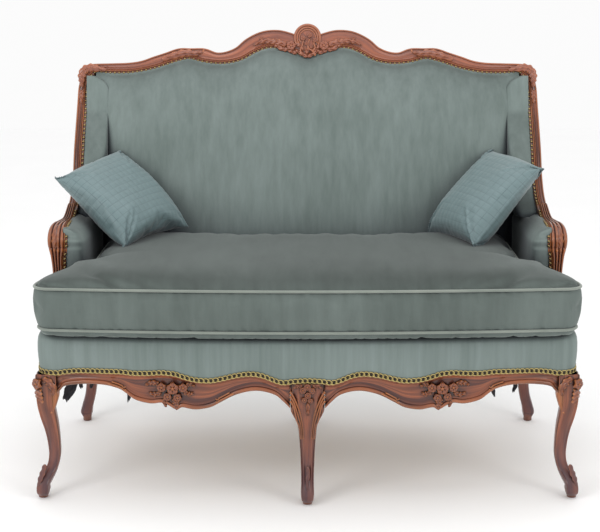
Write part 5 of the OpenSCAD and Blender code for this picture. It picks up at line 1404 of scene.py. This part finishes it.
def square_cover(name, body, node_name):
    """Two flat squares of cloth sewn together along their edges."""
    n = grid_n
    t = np.linspace(-1, 1, n + 1)
    u, v = np.meshgrid(t, t, indexing="ij")
    edge = np.maximum(np.abs(u), np.abs(v))
    height = 0.010 * (1 - edge ** 4)
    half = scatter_w / 2 * flat_share
    top = np.stack([half * u, half * v, height], -1).reshape(-1, 3)
    inside = (edge < 1).ravel()
    below = top[inside] * [1, 1, -1]
    number = np.arange((n + 1) ** 2)
    under = number.copy()
    under[inside] = (n + 1) ** 2 + np.arange(inside.sum())
    i, j = np.meshgrid(np.arange(n), np.arange(n), indexing="ij")
    a = (i * (n + 1) + j).ravel()
    faces = np.stack([a, a + n + 1, a + n + 2, a + 1], -1)
    mesh = bpy.data.meshes.new(name)
    sewn_faces = np.concatenate([faces, under[faces][:, ::-1]])
    mesh.from_pydata(np.concatenate([top, below]).tolist(), [], sewn_faces.tolist())
    flat = top[:, :2] + check_start
    uv = np.concatenate([flat[faces].reshape(-1, 2), flat[faces[:, ::-1]].reshape(-1, 2)])
    mesh.uv_layers.new(name="grain").data.foreach_set("uv", uv.ravel())
    mesh.materials.append(silk)
    piece = placed(name, mesh)
    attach(piece, body)
    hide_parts(node_name)
    return piece, np.concatenate([top, below])


# rows: name, centre, way of an upper edge, way down the slope, growth of the cloth in the filling
scatters = [
    ("left", [0.1614 - half_w, rear_y - 0.169, seam_low + 0.2363],
        [0.49, 0.866, 0.1], [0.69, -0.31, -0.655], 0.022),
    ("right", [half_w - 0.1864, rear_y - 0.1728, seam_low + 0.2383],
        [-0.339, 0.941, -0.024], [-0.634, -0.247, -0.733], 0.03)]
for side, centre, way, slope, growth in scatters:
    cover, flat = square_cover("checked_silk_cushion_" + side, "scatter_" + side, "scatter_cushion_" + side)
    fill(cover, [], 4.5, growth, 24)
    spots = places_of(cover)
    spots -= (spots.max(axis=0) + spots.min(axis=0)) / 2
    spots *= np.array([scatter_w, scatter_w, scatter_t]) / np.ptp(spots, axis=0)
    spots[:, 2] *= 1 + 0.2 * spots[:, 1] / (scatter_w / 2)
    # Puckers: the cloth dips along the lines of the check
    cell = np.abs(((flat[:, :2] + check_start) / check) % 1 - 0.5)
    dip = np.exp(-((0.5 - cell) / 0.14) ** 2).max(axis=1) * pucker_depth
    rim = np.minimum(1, (1 - np.abs(flat[:, :2]).max(axis=1) / np.abs(flat).max()) * 12)
    spots[:, 2] -= np.sign(flat[:, 2]) * dip * rim
    way = unit(np.array(way))
    slope = np.array(slope)
    slope = unit(slope - (slope @ way) * way)
    out = np.cross(way, slope)
    # The two corners beside the arm and over the seat droop
    drooped = np.maximum(0, spots[:, 0] * spots[:, 1] / (scatter_w / 2) ** 2) ** 1.5
    spots = np.array(centre) + spots[:, :1] * way + spots[:, 1:2] * slope + spots[:, 2:] * out
    spots[:, 2] -= corner_droop * drooped
    cover.data.vertices.foreach_set("co", spots.ravel())
    cover.data.polygons.foreach_set("use_smooth", [True] * len(cover.data.polygons))
    cover.data.update()


# Nails
# Small domed brass nails hold the cloth in the rebate along the crest, the wings and the arms.
# Painted shade darkens each dome towards the wood, so that only its top is bright.
brass, tree, shader = finish_of("aged_brass", 0.3, Metallic=1.0)
# Painted shade: each dome darkens where it meets the wood
nail_base_shade = node(tree, "AmbientOcclusion", {"Distance": 0.004}, samples=8)
brass_share = ranged(tree, (nail_base_shade, "AO"), 0.3, 0.95)
brass_tone = blend(tree, brass_share, "#2a2018", "#8f7a55")
link(tree, brass_tone, shader, "Base Color", 2)
nail_r = 0.0041
nail_pitch = 0.0125
nail_inset = 0.0034
nail_depth = -0.0042


def edge_spots(line, first, last):
    """Evenly spaced places along a member's inner edge, and where its face looks there."""
    row, way, front = line
    outer = np.cross(front, way)
    spots = row[:, :3] + outer * (nail_inset - row[:, 3:4] / 2) + front * (row[:, 4:5] / 2 + nail_depth)
    spots, front = spots[first:last], front[first:last]
    run = np.concatenate([[0], np.cumsum(np.linalg.norm(np.diff(spots, axis=0), axis=1))])
    count = int(run[-1] / nail_pitch)
    at = (np.arange(count) + 0.5) * run[-1] / count
    return (np.stack([np.interp(at, run, spots[:, k]) for k in range(3)], -1),
        unit(np.stack([np.interp(at, run, front[:, k]) for k in range(3)], -1)))


def dome(centre, out):
    u = unit(np.cross(out, [0.31, 0.2, 0.93]))
    v = np.cross(out, u)
    turn = 2 * math.pi * np.arange(10) / 10
    circle = np.cos(turn)[:, None] * u + np.sin(turn)[:, None] * v
    # rows: radius and height, as shares of the nail's radius
    rows = ((0.3, -1.2), (0.96, -0.25), (1, 0), (0.82, 0.36), (0.45, 0.6), (0.1, 0.66))
    return [centre + r * nail_r * circle + h * nail_r * out for r, h in rows]


crest_line = (crest_row, crest_way, crest_front)
rows_of_nails = [("crest_nails", [edge_spots(crest_line, 4, -4)])]
side_rows = [edge_spots(wing_line, 3, -1), edge_spots(arm_line, 4, -3),
    edge_spots(support_line, 22, -2)]
for name, rows in rows_of_nails + [("side_nails_left", side_rows), ("side_nails_right", side_rows)]:
    domes = [dome(c, o) for spots, outs in rows for c, o in zip(spots, outs)]
    if name.endswith("right"):
        domes = mirrored(domes)
    solid("domed_" + name, domes, brass, nodes=[name])


# Gimp braid
# A woven braid of gold and black cords glued over the cloth's lower edge. The cords run in rows of
# small curls, leaning into one another, about 12 mm apart.
gold_cord = toned("gold_gimp_cord", 0.55, 420.0, 2.0, "#8a7434", "#d3c07a", Sheen_Weight=0.2)
black_cord = toned("black_gimp_cord", 0.6, 420.0, 2.0, "#15120f", "#3b3226")
curl_pitch = 0.0115
braid_out = 0.0052
braid_up = 0.0055
braid = np.array([[p[0] - braid_out * u[0], p[1] - braid_out * u[1], base + braid_up, *u]
    for p, u, base, tongue in roll_line])
braid_run = np.concatenate([[0], np.cumsum(np.linalg.norm(np.diff(braid[:, :3], axis=0), axis=1))])
curls = int(braid_run[-1] / curl_pitch)


def curling_cord(phase, reach, swing, lift, thick, samples=12):
    """A cord that loops along the braid, as rings."""
    t = np.arange(curls * samples + 1) / samples
    turn = 2 * math.pi * (t + phase)
    at = np.clip((t + reach * np.sin(turn)) / curls, 0, 1) * braid_run[-1]
    row = np.stack([np.interp(at, braid_run, braid[:, k]) for k in range(5)], -1)
    inward = row[:, 3:5]
    spots = row[:, :3].copy()
    spots[:, 2] += swing * np.cos(turn) + lift
    out = 0.0016 + 0.0012 * np.sin(turn + 0.8)
    spots[:, :2] -= inward * out[:, None]
    return tube(spots, thick, 6)


solid("gold_braid_cords", [curling_cord(0.0, 0.34, 0.0044, 0.0012, 0.00125),
    curling_cord(0.5, 0.05, 0.0008, -0.0048, 0.0012)],
    gold_cord, nodes=["seat_gimp"])
solid("black_braid_cords", [curling_cord(0.42, 0.3, 0.0036, -0.0006, 0.0012)], black_cord)
backing = [[[row[0] + d * row[3], row[1] + d * row[4], row[2] + z] for d, z in
    ((0.0005, -0.0055), (0.003, -0.0055), (0.0030, 0.0045), (-0.0010, 0.0045), (-0.0006, -0.0005))]
    for row in braid]
solid("braid_backing", [backing], black_cord)


# Torn bottom cloth
# Seven scraps of the black cloth that closed the seat from below still hang from its tacks, twisted
# and frayed at their lower ends.
black_cloth = toned("black_bottom_cloth", 0.95, 60.0, 4.0, "#16161b", "#3d3c42")
hem_z = block_z - 0.001
# rows: x, y, width, length, drift of its lower end, turn of its foot
scraps = [
    (-0.583, -0.235, 0.030, 0.058, -0.022, 0.5), (-0.563, -0.262, 0.012, 0.020, 0.004, 0.2),
    (-0.532, -0.265, 0.012, 0.018, -0.003, -0.4), (-0.436, -0.268, 0.012, 0.052, -0.008, 0.3),
    (0.197, -0.27, 0.012, 0.024, 0.006, 0.4), (0.455, -0.262, 0.012, 0.04, 0.008, -0.5),
    (0.517, -0.255, 0.011, 0.03, -0.006, 0.3)]
for number, (x, y, width, length, drift, turned) in enumerate(scraps):
    points = []
    for down in np.linspace(0, 1, 15):
        for across in np.linspace(-0.5, 0.5, 9):
            fray = 0.30 * noise.noise(Vector((7 * across, 5 * down, 3.1 * number)))
            wide = width * (1 - 0.55 * down ** 2 + fray)
            fold = 0.0035 * math.sin(5 * across + 6 * down + number) * down
            torn = 0.25 * length * noise.noise(Vector((9 * across, number, 0.4))) * down
            points.append([x + wide * across + drift * down ** 1.4,
                y + fold + 0.3 * width * turned * across * down,
                hem_z - length * down + torn])
    cells = [(9 * i + j, 9 * i + j + 1, 9 * i + j + 10, 9 * i + j + 9) for i in range(14) for j in range(8)]
    mesh = bpy.data.meshes.new("torn_cloth_scrap_%d" % (number + 1))
    mesh.from_pydata(points, [], cells)
    mesh.materials.append(black_cloth)
    piece = placed(mesh.name, mesh)
    piece.modifiers.new("cloth_thickness", "SOLIDIFY").thickness = 0.0006
    bpy.ops.object.modifier_apply(modifier="cloth_thickness")
    bpy.ops.object.shade_smooth()
    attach(piece, "frame")
    # The frame's dust cover is hidden when the first scrap is made. The first scrap
    # stands in the table for all seven
    if number == 0:
        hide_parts("dust_cover")
